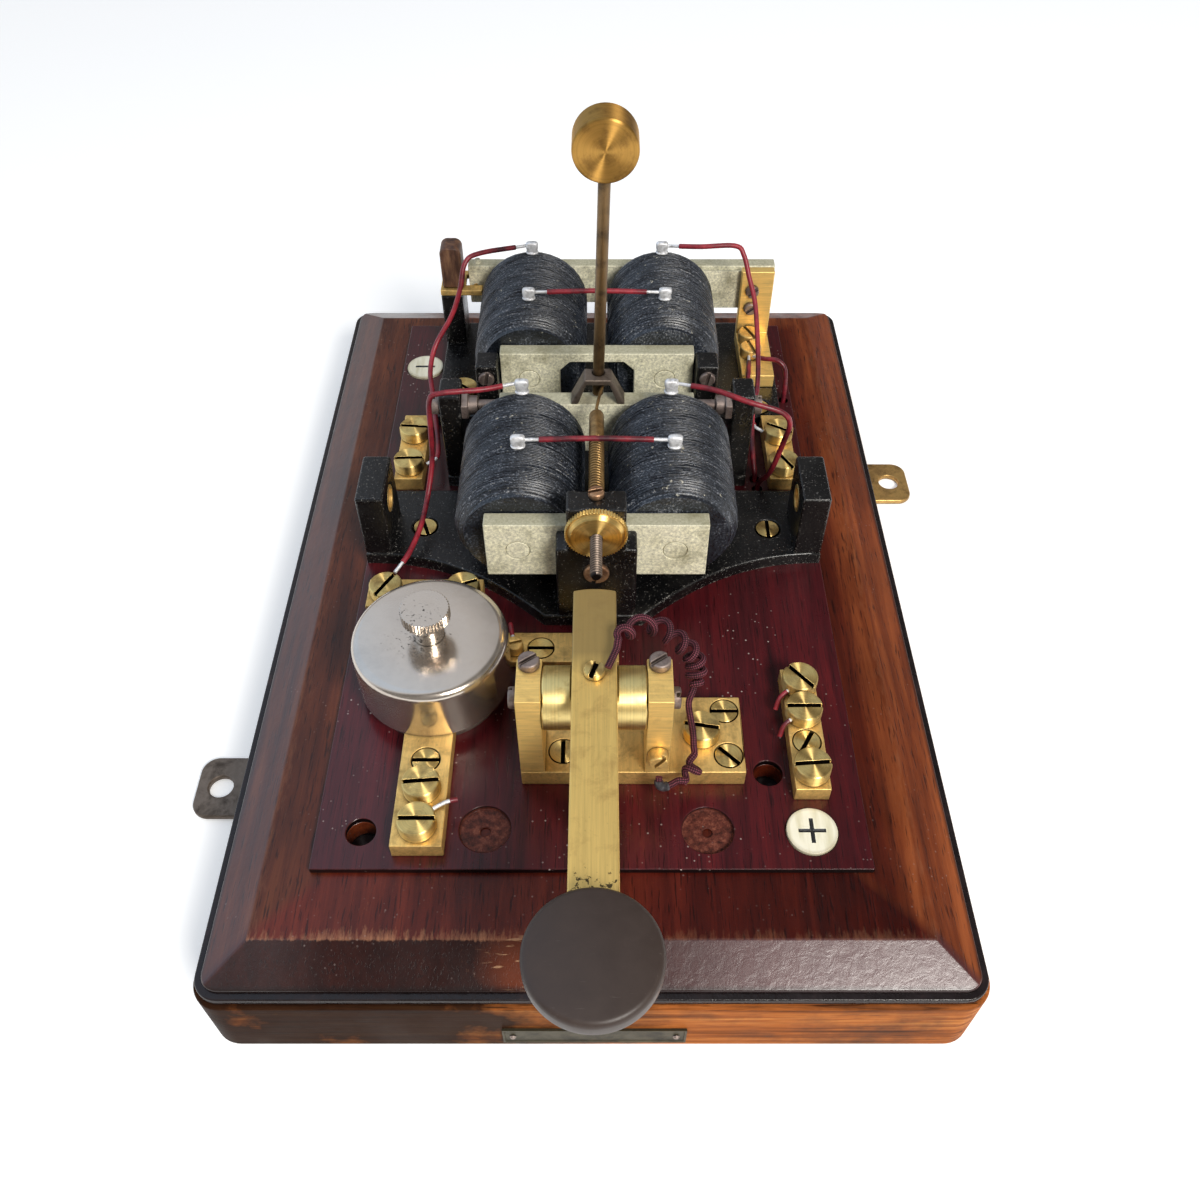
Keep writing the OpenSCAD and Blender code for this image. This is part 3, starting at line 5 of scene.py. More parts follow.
import bmesh
import bpy
from bpy.props import FloatProperty, FloatVectorProperty, IntProperty, PointerProperty
from bpy.types import Operator, Panel, PropertyGroup
from mathutils import Matrix, Vector
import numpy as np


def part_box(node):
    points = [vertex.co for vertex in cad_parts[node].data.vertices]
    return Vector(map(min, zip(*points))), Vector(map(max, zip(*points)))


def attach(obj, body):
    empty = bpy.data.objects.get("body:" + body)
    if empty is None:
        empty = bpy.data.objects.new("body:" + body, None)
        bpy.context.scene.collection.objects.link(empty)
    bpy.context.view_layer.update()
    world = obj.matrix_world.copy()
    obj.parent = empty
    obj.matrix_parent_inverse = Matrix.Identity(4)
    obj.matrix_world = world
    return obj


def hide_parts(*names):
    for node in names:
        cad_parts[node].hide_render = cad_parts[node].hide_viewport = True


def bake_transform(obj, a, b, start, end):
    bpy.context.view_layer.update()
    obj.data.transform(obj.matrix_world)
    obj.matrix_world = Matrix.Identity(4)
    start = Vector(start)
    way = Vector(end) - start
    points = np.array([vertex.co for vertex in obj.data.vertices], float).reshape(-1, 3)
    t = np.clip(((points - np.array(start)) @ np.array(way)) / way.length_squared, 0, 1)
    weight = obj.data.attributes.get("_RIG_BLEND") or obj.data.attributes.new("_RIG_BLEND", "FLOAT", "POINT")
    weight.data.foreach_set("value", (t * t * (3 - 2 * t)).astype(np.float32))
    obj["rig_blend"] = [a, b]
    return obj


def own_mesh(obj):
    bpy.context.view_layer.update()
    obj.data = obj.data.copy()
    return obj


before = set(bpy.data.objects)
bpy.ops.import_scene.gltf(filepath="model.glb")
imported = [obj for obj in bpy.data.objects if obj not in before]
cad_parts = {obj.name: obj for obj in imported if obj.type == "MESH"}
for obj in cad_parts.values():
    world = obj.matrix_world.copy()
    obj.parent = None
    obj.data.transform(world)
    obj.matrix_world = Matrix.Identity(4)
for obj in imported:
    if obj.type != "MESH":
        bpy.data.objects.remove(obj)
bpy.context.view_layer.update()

bl_info = {
    "name": "Railway Block Bell",
    "version": (1, 0, 0),
    "blender": (4, 5, 0),
    "location": "View3D > Sidebar > Block Bell",
    "description": "Dresses the block bell's CAD model with its woods, metals, windings and wires",
    "category": "Object",
}

MM = 0.001
# Millimetres in a metre: over a form's size in millimetres, it gives a texture's scale
METRE = 1000
# Most of a noise texture lies between these values
NOISE = 0.3, 0.7


def linear(code):
    """Turns an sRGB hex colour into the linear one that the sockets take."""
    parts = [int(code[i:i + 2], 16) / 255 for i in (1, 3, 5)]
    return [p / 12.92 if p <= 0.04045 else ((p + 0.055) / 1.055) ** 2.4 for p in parts] + [1.0]


def length(name, description, size):
    """A size in millimetres that the sidebar shows."""
    return FloatProperty(name=name, description=description, default=size * MM, unit="LENGTH")


def colour(name, description, code):
    """A colour that the sidebar shows."""
    return FloatVectorProperty(name=name, description=description, subtype="COLOR", size=4,
                               default=linear(code))


class BellSizes(PropertyGroup):
    """Sizes that change how the dressed pieces look."""

    wood_edge: length("Wood edge", "Rounding of the wooden edges", 0.9)
    brass_edge: length("Brass edge", "Rounding of the filed brass edges", 0.35)
    cast_edge: length("Casting edge", "Rounding of the cast frame's edges", 0.9)
    strand_turns: IntProperty(name="Winding turns", description="Turns of the outer layer on each coil",
                              default=66, min=20, max=90)
    lead_d: length("Lead", "Diameter of the covered leads", 2.0)
    bare_d: length("Bare wire", "Diameter of the tinned wire in the leads", 1.3)
    flex_d: length("Flex", "Diameter of the braided flex", 2.2)
    curl_r: length("Flex curl", "Radius of the flex's curls", 2.5)


class BellColours(PropertyGroup):
    """Colours of the woods, metals and coverings."""

    panel: colour("Panel", "Red of the polished mahogany panel", "#421116")
    board: colour("Board", "Brown of the bevelled board", "#6b3219")
    plinth: colour("Plinth", "Brown of the plinth", "#a25c2b")
    brass: colour("Brass", "Colour of the clean brass", "#f0c97c")
    nickel: colour("Nickel", "Colour of the nickel plating", "#cbc1b6")
    plating: colour("Plated iron", "Cream plating of the yokes", "#ece8cc")
    japan: colour("Black japan", "Black of the cast frame", "#0c0c0d")
    # Its blue tint is painted sky reflection on the black cotton
    winding: colour("Winding", "Black of the shellacked cotton", "#1e232c")
    ebonite: colour("Ebonite", "Brown black of the knob", "#3b302b")
    ivory: colour("Ivory", "Cream of the discs", "#ebe6cf")
    cover: colour("Lead cover", "Red of the leads", "#84202c")
    braid: colour("Braid", "Maroon of the flex", "#39111a")


def join(tree, node, inputs):
    """Links each named socket, or sets its value, which may be a hex colour, where no link is given."""
    for name, value in inputs.items():
        if isinstance(value, bpy.types.NodeSocket):
            tree.links.new(value, node.inputs[name])
        else:
            node.inputs[name].default_value = linear(value) if isinstance(value, str) else value


# Each form's node, the output that is used, the sockets in the order that values are given, and its settings
FORMS = {
    "place": ("TexCoord", "Object", (), {}),
    "facing": ("TexCoord", "Normal", (), {}),
    "generated": ("TexCoord", "Generated", (), {}),
    "normal": ("NewGeometry", "Normal", (), {}),
    "uv": ("UVMap", 0, (), {"uv_map": "UVMap"}),
    "own": ("Attribute", "Vector", (), {"attribute_name": "own"}),
    "rim": ("Attribute", "Fac", (), {"attribute_name": "rim"}),
    "camera_ray": ("LightPath", "Is Camera Ray", (), {}),
    "glossy_ray": ("LightPath", "Is Glossy Ray", (), {}),
    "through_ray": ("LightPath", "Is Transmission Ray", (), {}),
    "rounded": ("Bevel", 0, ("Radius",), {"samples": 4}),
    "light": ("AmbientOcclusion", "AO", ("Distance",), {"samples": 4}),
    "noise": ("TexNoise", 0, ("Vector", "Scale", "Detail", "Roughness", "Distortion"), {}),
    "cells": ("TexVoronoi", 0, ("Vector", "Scale"), {}),
    "stretch": ("Mapping", 0, ("Vector", "Scale", "Rotation"), {}),
    "range": ("MapRange", 0, ("Value", "From Min", "From Max", "To Min", "To Max"), {}),
    "ramp": ("ValToRGB", 0, (0,), {}),
    "bump": ("Bump", 0, ("Strength", "Distance", "Height"), {}),
    "mix": ("Mix", 2, (0, 6, 7), {"data_type": "RGBA"}),
    "tint": ("Mix", 2, (0, 6, 7), {"data_type": "RGBA", "blend_type": "MULTIPLY"}),
    "blend": ("Mix", 0, (0, 2, 3), {"data_type": "FLOAT"}),
    "either": ("Mix", 1, (0, 4, 5), {"data_type": "VECTOR"}),
    "combined": ("CombineXYZ", 0, (0, 1), {}),
}
for name in "xyz":
    FORMS[name] = ("SeparateXYZ", name.upper(), (0,), {})
OPERATIONS = {
    ("Math", 0): {"times": "MULTIPLY", "plus": "ADD", "minus": "SUBTRACT", "larger": "MAXIMUM",
                  "smaller": "MINIMUM", "less": "LESS_THAN", "more": "GREATER_THAN",
                  "absolute": "ABSOLUTE", "sine": "SINE"},
    ("VectorMath", 0): {"away": "SUBTRACT", "masked": "MULTIPLY", "cross": "CROSS_PRODUCT",
                        "unit": "NORMALIZE"},
    ("VectorMath", "Value"): {"apart": "DISTANCE", "dot": "DOT_PRODUCT", "length": "LENGTH"},
}
for (kind, out), names in OPERATIONS.items():
    for name, operation in names.items():
        FORMS[name] = (kind, out, (0, 1), {"operation": operation})
FORMS["scaled"] = ("VectorMath", 0, (0, "Scale"), {"operation": "SCALE"})


def adder(tree):
    """Gives the function that adds nodes to a tree."""
    def add(form, *values):
        """Adds a node of a form, joins or sets its sockets, and gives its output."""
        kind, out, sockets, settings = FORMS[form]
        node = tree.nodes.new("ShaderNode" + kind)
        for name, value in settings.items():
            setattr(node, name, value)
        join(tree, node, dict(zip(sockets, values)))
        # A ramp's stops come after its value, each with its place and colour
        if form == "ramp":
            bands = node.color_ramp.elements
            bands.remove(bands[1])
            bands[0].position = values[1][0]
            for place, tone in values[2:]:
                bands.new(place)
            for band, (place, tone) in zip(bands, values[1:]):
                band.color = linear(tone) if isinstance(tone, str) else tone
        return node.outputs[out]
    return add


def begin(name):
    """Starts a material and gives it with the function that adds its nodes."""
    material = bpy.data.materials.new(name)
    material.use_nodes = True
    return material, adder(material.node_tree)


def start(name):
    """Starts a finish on the object's own coordinates."""
    material, add = begin(name)
    return material, add, add("place")


def settle(material, tint, rough, bump, more=None):
    """Joins a finish's colour, roughness, relief and other values to its shader, and gives the finish."""
    inputs = {"Base Color": tint, "Roughness": rough, "Normal": bump, **(more or {})}
    join(material.node_tree, material.node_tree.nodes["Principled BSDF"], inputs)
    return material


def painted_corner_shade(add, tint, reach, clear, deep, most, dirt_and_shade):
    """Paints shade into the corners: darkens where little light comes within the reach given in millimetres."""
    light = add("light", reach * MM)
    return add("mix", add("range", light, clear, deep, 0.0, most), tint, dirt_and_shade)


def colours():
    return bpy.context.scene.block_bell_colours


def sizes():
    return bpy.context.scene.block_bell_sizes


def shade(colour, value):
    """A colour made darker or lighter."""
    parts = linear(colour) if isinstance(colour, str) else colour
    return [min(1.0, p * value) for p in parts[:3]] + [1.0]


def edge_wear(add, reach, patch, most=1.0):
    """Brighter along the worn edges, in patches of about the size given, both in millimetres."""
    place = add("place")
    rounded = add("rounded", reach * MM)
    straight = add("normal")
    turned = add("dot", rounded, straight)
    edge = add("range", turned, 0.985, 0.86)
    patches = add("noise", place, METRE / patch, 5.0, 0.65)
    broken = add("range", patches, 0.38, 0.62)
    return add("times", add("times", edge, broken), most)


def mahogany(add, place, dark, tone, light, stretch, pore_stretch):
    """Straight mahogany grain with short dark pores: gives its colour and its height."""
    long = add("stretch", place, stretch)
    short = add("stretch", place, pore_stretch)
    grain = add("noise", long, 1.0, 8.0, 0.66, 0.5)
    tint = add("ramp", grain, (0.3, dark), (0.5, tone), (0.72, light))
    cloud = add("noise", place, METRE / 45, 3.0)
    clouded = add("range", cloud, *NOISE, 0.75, 1.2)
    tint = add("tint", 1.0, tint, clouded)
    pores = add("noise", short, 1.0, 2.0)
    pore = add("range", pores, 0.58, 0.68)
    tint = add("mix", add("times", pore, 0.75), tint, shade(dark, 0.35))
    return tint, add("minus", grain, pore)


def panel_mahogany(name):
    """Deep red French polished panel: its cut sides are stained black, its sockets raw and brown."""
    material, add, place = start(name)
    tint, height = mahogany(add, place, "#2b0a0e", colours().panel, "#58171a", (260, 9, 260),
                            (2000, 90, 2000))
    raw = None
    for x, y in ((-32.4, -117.0), (35.0, -117.4)):
        reach = add("apart", place, (x * MM, y * MM, 39.4 * MM))
        near = add("less", reach, 7.85 * MM)
        raw = near if raw is None else add("larger", raw, near)
    fluff = add("noise", place, METRE / 2.0, 6.0, 0.75)
    rotten = add("ramp", fluff, (0.35, "#2b1410"), (0.52, "#5a2c23"), (0.7, "#85503f"))
    facing = add("z", add("facing"))
    side = add("range", facing, 0.75, 0.4, 0.0, 0.97)
    tint = add("mix", side, tint, "#0b0708")
    tint = add("mix", raw, tint, rotten)
    tint = add("mix", edge_wear(add, 0.6, 5.0, 0.6), tint, "#6a4640")
    tint = dusting(add, place, tint, 0.85)
    smear = add("noise", place, METRE / 14, 6.0, 0.7)
    rough = add("range", smear, *NOISE, 0.24, 0.42)
    rough = add("plus", rough, add("times", raw, 0.5))
    x = add("x", place)
    hazy = add("range", x, -0.015, -0.07, 0.03, 0.6)
    deep = add("plus", height, add("times", fluff, raw))
    bump = add("bump", 0.3, 0.1 * MM, deep)
    return settle(material, tint, rough, bump,
                  {"IOR": 1.5, "Specular IOR Level": 0.2, "Coat Weight": hazy, "Coat Roughness": 0.24})


def board_mahogany(name):
    """Bevelled board: deep red and glossy in front, brown at the sides, its ridge rubbed to bare wood."""
    material, add, place = start(name)
    tint, height = mahogany(add, place, "#4a2012", colours().board, "#8c4a27", (200, 11, 200),
                            (1700, 130, 1700))
    x = add("x", place)
    y = add("y", place)
    wide = add("plus", add("absolute", x), -RIDGE_X * MM)
    long = add("plus", add("absolute", y), -RIDGE_Y * MM)
    ridge = add("larger", wide, long)
    # The mitre parts the front from the sides: above it the wood took the deep red stain
    front = add("range", add("minus", long, wide), -4 * MM, 1.5 * MM)
    ahead = add("range", y, -0.06, -0.13)
    front = add("times", front, ahead)
    across = add("range", x, -0.06, 0.03)
    front_stain = add("mix", across, (0.62, 0.36, 0.5, 1), (0.3, 0.13, 0.2, 1))
    stained = add("tint", 1.0, tint, front_stain)
    left = add("range", x, -0.07, -0.09)
    brown = add("tint", 1.0, tint, (0.55, 0.6, 0.68, 1))
    tint = add("mix", left, tint, brown)
    tint = add("mix", front, tint, stained)
    sloped = add("range", ridge, -0.4 * MM, 0.4 * MM)
    slope_tone = add("mix", add("range", x, 0.0, 0.05), "#170806", "#4a2326")
    shaded = add("times", add("times", sloped, front), 0.85)
    tint = add("mix", shaded, tint, slope_tone)
    deeper = add("range", x, -0.06, 0.0, 0.35, 0.85)
    near = add("range", ridge, -4 * MM, -10 * MM)
    near = add("times", near, deeper)
    reddened = add("tint", 1.0, tint, (0.42, 0.2, 0.26, 1))
    near = add("times", near, add("minus", 1.0, front))
    tint = add("mix", near, tint, reddened)
    streaks = add("noise", add("stretch", place, (700, 130, 700)), 1.0, 5.0, 0.7)
    patches = add("noise", place, METRE / 30, 3.0)
    above = add("range", ridge, -4.6 * MM, 0.0)
    below = add("range", ridge, 0.9 * MM, 0.1 * MM)
    band = add("times", above, below)
    streaky = add("range", streaks, 0.35, 0.65, -0.1, 1.0)
    ragged = add("plus", band, add("plus", streaky, patches))
    rubbed = add("range", ragged, 1.5, 2.4, 0.0, 0.9)
    # The hand rubs the front ridge bare at the left, and hardly touches the sides
    handled = add("range", x, 0.03, -0.02, 0.25, 0.85)
    held = add("blend", front, 0.22, handled)
    rubbed = add("times", rubbed, held)
    tint = add("mix", rubbed, tint, "#96664a")
    # A patch rubbed through to orange wood and scratched, in front of the lever
    spot = add("apart", place, (-17 * MM, -158 * MM, 34 * MM))
    bare = add("plus", add("range", spot, 22 * MM, 4 * MM), patches)
    bare = add("range", bare, 0.95, 1.45, 0.0, 0.55)
    tint = add("mix", bare, tint, "#74351a")
    hairs = add("noise", add("stretch", place, (150, 900, 900), (0, 0, 0.9)), 1.0, 2.0)
    hair = add("range", hairs, 0.62, 0.68, 0.0, 1.0)
    tint = add("mix", add("times", hair, bare), tint, "#c8a078")
    foot = add("range", ridge, 11.2 * MM, 12.6 * MM, 0.0, 0.8)
    tint = add("mix", foot, tint, "#150b0a")
    tint = dusting(add, place, tint, 0.2)
    lumps = add("noise", place, METRE / 2.6, 4.0, 0.6)
    smear = add("noise", place, METRE / 12, 6.0, 0.7)
    rough = add("range", smear, *NOISE, 0.26, 0.5)
    rough = add("plus", rough, add("times", rubbed, 0.3))
    deep = add("plus", height, add("times", lumps, 2.0))
    bump = add("bump", 0.35, 0.1 * MM, deep)
    peel = add("noise", place, METRE / 3.4, 5.0, 0.65, 0.5)
    orange_peel = add("bump", 0.8, 0.16 * MM, peel)
    righter = add("range", x, -0.02, 0.06, 0.15)
    glazed = add("larger", add("times", front, righter), left)
    hazed = add("range", x, 0.0, -0.07, 0.0, 0.4)
    glazed = add("blend", sloped, hazed, glazed)
    return settle(material, tint, rough, bump,
                  {"IOR": 1.5, "Specular IOR Level": 0.16, "Coat Weight": glazed, "Coat Roughness": 0.3,
                   "Coat Normal": orange_peel})


def plinth_mahogany(name):
    """Duller plinth, grain along each side: orange where it is clean, stained dark towards the left."""
    material, add, place = start(name)
    tone = colours().plinth
    facing = add("x", add("facing"))
    flank = add("more", add("absolute", facing), 0.7)
    across = add("stretch", place, (14, 260, 420))
    along = add("stretch", place, (260, 14, 420))
    way = add("either", flank, across, along)
    grain = add("noise", way, 1.0, 9.0, 0.68, 0.4)
    tint = add("ramp", grain, (0.3, "#42210f"), (0.5, tone), (0.74, "#cf8c4c"))
    fine = add("stretch", way, (5, 5, 5))
    pores = add("noise", fine, 1.0, 2.0)
    pore = add("range", pores, 0.6, 0.7)
    tint = add("mix", add("times", pore, 0.75), tint, "#20110c")
    stain = add("noise", place, METRE / 26, 6.0, 0.62)
    x = add("x", place)
    lefter = add("range", x, 0.03, -0.05, -0.08, 0.3)
    stained = add("range", add("plus", stain, lefter), 0.42, 0.72, 0.0, 0.95)
    tint = add("mix", stained, tint, "#160d09")
    tint = add("mix", edge_wear(add, 1.0, 9.0, 0.6), tint, "#c08a5c")
    rough = add("range", stain, *NOISE, 0.6, 0.4)
    bump = add("bump", 0.35, 0.1 * MM, add("minus", grain, pore))
    return settle(material, tint, rough, bump, {"IOR": 1.5, "Specular IOR Level": 0.03})


def bead_black(name):
    """Black stained bead, polished to a gloss, with a few rubs."""
    material, add, place = start(name)
    smear = add("noise", place, METRE / 11, 6.0, 0.7)
    tint = add("ramp", smear, (0.35, "#120d0e"), (0.6, "#1d1516"), (0.75, "#3a2a29"))
    tint = add("mix", edge_wear(add, 0.6, 6.0, 0.5), tint, "#6b4a3c")
    rough = add("range", smear, *NOISE, 0.16, 0.4)
    lumps = add("noise", place, METRE / 2.2, 4.0, 0.65)
    bump = add("bump", 0.7, 0.25 * MM, lumps)
    return settle(material, tint, rough, bump, {"Specular IOR Level": 0.35})


def brushed(name, clean, tarnish, dirt_and_shade, lie, cover, rough_low, rough_high, wear=0.5, spotted=0.4,
            marks=None, metal=0.75):
    """Filed and rubbed metal: fine parallel scratches, brown tarnish in patches, painted shade in the corners,
    bright worn edges.
    """
    material, add, place = start(name)
    lines = add("stretch", place, lie)
    scratch = add("noise", lines, 1.0, 4.0, 0.7)
    patch = add("noise", place, METRE / 8, 7.0, 0.68, 0.4)
    dull = add("range", patch, cover, cover + 0.2)
    tint = add("mix", dull, clean, tarnish)
    lined = add("range", scratch, *NOISE, 0.84, 1.12)
    tint = add("tint", 1.0, tint, lined)
    # Painted shade darkens the corners that little light reaches; the spots below are real dirt
    tint = painted_corner_shade(add, tint, 2.5, 0.75, 0.35, 0.8, dirt_and_shade)
    spots = add("cells", place, METRE / 2.6)
    spot = add("range", spots, 0.12, 0.05, 0.0, spotted)
    tint = add("mix", spot, tint, dirt_and_shade)
    worn = edge_wear(add, wear, 5.0)
    tint = add("mix", worn, tint, shade(clean, 1.15))
    if marks:
        tint = marks(add, place, tint)
    rough = add("range", patch, *NOISE, rough_low, rough_high)
    bump = add("bump", 0.3, 0.03 * MM, scratch)
    return settle(material, tint, rough, bump, {"Metallic": metal})


def bar_brass(name):
    """Terminal bars and plates: dull yellow brass, greyed by handling."""
    return brushed(name, colours().brass, "#b4935a", "#3a2c1c", (900, 120, 900), 0.48, 0.42, 0.56)


def key_brass(name):
    """Cheeks and bracket: brighter brass, brushed level across the faces."""
    return brushed(name, "#f6d07e", "#d9b56e", "#3a2c1c", (90, 1100, 1300), 0.54, 0.42, 0.55, spotted=0.15,
                   metal=0.65)


def lever_brass(name):
    """Lever: satin brass drawn lengthwise, darkened at its tail by painted shade, with black lacquer left by the
    knob.
    """
    return brushed(name, "#e6c272", "#cda862", "#2c2018", (1500, 30, 1500), 0.5, 0.38, 0.5, 0.4, 0.12,
                   shade_and_lacquer_marks, 0.7)


def turned(name, clean, tarnish, axis, ring, low, high, cover, streak):
    """Metal turned on a lathe: fine rings round its axis, so that light fans out, and black slots."""
    material, add, place = start(name)
    own = add("own")
    along = add("dot", own, axis)
    lift = add("scaled", axis, along)
    spoke = add("away", own, lift)
    radius = add("length", spoke)
    line = add("combined", radius, along)
    rings = add("noise", line, METRE / ring, 3.0, 0.7)
    patch = add("noise", place, METRE / 4.5, 6.0, 0.65)
    dull = add("range", patch, cover, cover + 0.25)
    tint = add("mix", dull, clean, tarnish)
    lined = add("range", rings, *NOISE, 0.82, 1.1)
    tint = add("tint", 1.0, tint, lined)
    # Painted shade darkens the corners that little light reaches
    tint = painted_corner_shade(add, tint, 1.6, 0.72, 0.3, 0.85, "#1e150e")
    # Inside the rim and under the face is the slot, painted near black as painted shade
    rim = add("rim")
    within = add("less", radius, rim)
    slot = add("times", within, add("less", along, -0.14 * MM))
    tint = add("mix", slot, tint, "#0d0906")
    rough = add("range", patch, *NOISE, low, high)
    bump = add("bump", 0.2, 0.02 * MM, rings)
    round_way = add("cross", axis, own)
    facing = add("normal")
    spoke_way = add("cross", facing, round_way)
    spoke_way = add("unit", spoke_way)
    return settle(material, tint, rough, bump,
                  {"Metallic": 1.0, "Anisotropic": streak, "Tangent": spoke_way})


def screw_brass(name):
    """Cheese heads: turned faces with dark slots."""
    return turned(name, "#f4d488", "#bd9960", (0, 0, 1), 0.5, 0.38, 0.48, 0.5, 0.95)


def drum_brass(name):
    """Key drum: turned brass, softly bright."""
    return turned(name, "#ecd590", "#c2a463", (1, 0, 0), 0.5, 0.36, 0.5, 0.52, 0.4)


def head_brass(name):
    """Hammer head: turned brass, browned, bruised by striking."""
    return turned(name, "#b68c49", "#8a673a", (0, 1, 0), 0.7, 0.36, 0.46, 0.5, 0.95)


def nut_brass(name):
    """Knurled nut: turned face and cut rim."""
    return turned(name, "#ebc679", "#b8935a", (0, 1, 0), 0.5, 0.34, 0.44, 0.52, 0.95)


def nickel_plate(name):
    """Nickel plate: bright soft mirror, with black specks where the plating has failed."""
    material, add, place = start(name)
    tone = colours().nickel
    cloud = add("noise", place, METRE / 9, 7.0, 0.7)
    tint = add("ramp", cloud, (0.3, shade(tone, 0.88)), (0.55, tone), (0.75, shade(tone, 1.05)))
    specks = add("noise", add("stretch", place, (1, 1.6, 1), (0, 0, 0.5)), METRE / 1.3, 4.0, 0.65)
    reach = add("apart", place, (-55 * MM, -64 * MM, 72 * MM))
    near = add("range", reach, 20 * MM, 5 * MM, -0.1, 0.07)
    fleck = add("range", add("plus", specks, near), 0.63, 0.68, 0.0, 0.85)
    tint = add("mix", fleck, tint, "#2b2724")
    # Painted shade darkens the corners that little light reaches
    tint = painted_corner_shade(add, tint, 1.5, 0.7, 0.3, 0.7, "#3d362c")
    rough = add("range", cloud, *NOISE, 0.12, 0.27)
    rough = add("plus", rough, add("times", fleck, 0.4))
    bump = add("bump", 0.08, 0.03 * MM, cloud)
    return settle(material, tint, rough, bump, {"Metallic": 0.92})


def cream_plating(name):
    """Yokes and bars: cream zinc-like plating, granular, rubbed and browned in places, with painted shade on the
    tops.
    """
    material, add, place = start(name)
    tone = colours().plating
    grit = add("noise", place, METRE / 0.9, 4.0, 0.7)
    cloud = add("noise", place, METRE / 10, 6.0, 0.65)
    tint = add("ramp", cloud, (0.28, "#a9a486"), (0.5, tone), (0.75, "#f0ecd4"))
    dotted = add("range", grit, *NOISE, 0.5, 1.25)
    tint = add("tint", 1.0, tint, dotted)
    # The tops are painted a shade darker and browner than the faces, as painted shade
    facing = add("z", add("facing"))
    top = add("range", facing, 0.6, 0.9, 0.0, 0.6)
    tint = add("mix", top, tint, "#8d8668")
    tint = add("mix", edge_wear(add, 0.6, 4.0, 0.6), tint, "#f4efd8")
    rough = add("range", grit, *NOISE, 0.5, 0.68)
    bump = add("bump", 0.4, 0.06 * MM, grit)
    return settle(material, tint, rough, bump, {"Metallic": 0.1})


def japan_black(name):
    """Cast frame in black japan: lumpy gloss, with grey grit and worn iron along the edges."""
    material, add, place = start(name)
    tone = colours().japan
    lumps = add("noise", place, METRE / 1.6, 5.0, 0.65)
    cloud = add("noise", place, METRE / 16, 5.0, 0.65)
    dusty = add("range", cloud, 0.52, 0.78, 0.0, 0.22)
    tint = add("mix", dusty, tone, "#3a3734")
    worn = edge_wear(add, 1.6, 3.0)
    grit = add("noise", place, METRE / 0.7, 3.0, 0.7)
    specked = add("range", add("plus", grit, add("times", worn, 0.16)), 0.62, 0.7, 0.0, 0.9)
    tint = add("mix", specked, tint, "#8d8a85")
    rough = add("range", cloud, *NOISE, 0.18, 0.4)
    bump = add("bump", 0.7, 0.2 * MM, lumps)
    return settle(material, tint, rough, bump, {"Specular IOR Level": 0.4})


def cotton_winding(name):
    """Cotton covered wire under shellac: black turns tinted blue as painted sky reflection, glossy crowns with
    painted highlights and painted shade between the turns, rubbed threads and pale lint.
    """
    material, add, place = start(name)
    tone = colours().winding
    # Each turn keeps its own shade, so the layers show as rings under a millimetre wide
    ringed = add("stretch", place, (45, 1300, 45))
    turn = add("noise", ringed, 1.0, 4.0, 0.75)
    thread = add("stretch", place, (1200, 1700, 1200))
    fuzz = add("noise", thread, 1.0, 4.0, 0.75)
    both = add("blend", 0.62, turn, fuzz)
    # The darkest stop is painted shade between the turns, the blue grey a painted sky reflection, the pale grey a
    # painted highlight on the crowns
    tint = add("ramp", both, (0.42, shade(tone, 0.25)), (0.52, tone), (0.58, "#545a64"), (0.65, "#aaa8a6"))
    specks = add("noise", place, METRE / 2.2, 3.0, 0.6)
    near = add("noise", place, METRE / 14, 2.0)
    thick = add("range", near, 0.35, 0.65, -0.06, 0.03)
    lint = add("range", add("plus", specks, thick), 0.67, 0.71, 0.0, 0.7)
    tint = add("mix", lint, tint, "#b8b3a2")
    rough = add("range", both, 0.35, 0.65, 0.24, 0.45)
    bump = add("bump", 0.8, 0.14 * MM, both)
    return settle(material, tint, rough, bump, {"Specular IOR Level": 0.55})


def knob_ebonite(name):
    """Moulded ebonite: brown black, satin, with fine hand scratches."""
    material, add, place = start(name)
    tone = colours().ebonite
    cloud = add("noise", place, METRE / 7, 6.0, 0.7)
    tint = add("ramp", cloud, (0.3, shade(tone, 0.85)), (0.6, tone), (0.8, shade(tone, 1.2)))
    marks = None
    for lean in (0.6, -0.5):
        cross = add("stretch", place, (120, 2600, 2600), (0, 0, lean))
        scratch = add("noise", cross, 1.0, 3.0)
        nick = add("range", scratch, 0.72, 0.8, 0.0, 0.25)
        marks = nick if marks is None else add("larger", marks, nick)
    tint = add("mix", marks, tint, "#8d847c")
    rough = add("range", cloud, *NOISE, 0.36, 0.5)
    bump = add("bump", 0.15, 0.04 * MM, cloud)
    return settle(material, tint, rough, bump, {"IOR": 1.6, "Specular IOR Level": 0.25})


def disc_ivory(name):
    """Ivory disc: warm cream with faint grain, black filled cuts, browned rim."""
    material, add, place = start(name)
    tone = colours().ivory
    lines = add("stretch", place, (400, 60, 400))
    grain = add("noise", lines, 1.0, 5.0)
    tint = add("ramp", grain, (0.3, "#cfc8a6"), (0.55, tone), (0.8, "#efebd8"))
    own = add("own")
    height = add("z", own)
    flat = add("masked", own, (1, 1, 0))
    radius = add("length", flat)
    sunk = add("less", height, -0.06 * MM)
    inside = add("less", radius, 5.6 * MM)
    filled = add("times", sunk, inside)
    rim = add("range", radius, 6.6 * MM, 7.8 * MM, 0.0, 0.5)
    tint = add("mix", rim, tint, "#8f7f5c")
    tint = add("mix", filled, tint, "#17191a")
    bump = add("bump", 0.15, 0.04 * MM, grain)
    rough = add("range", grain, *NOISE, 0.35, 0.5)
    return settle(material, tint, rough, bump, {"IOR": 1.54})


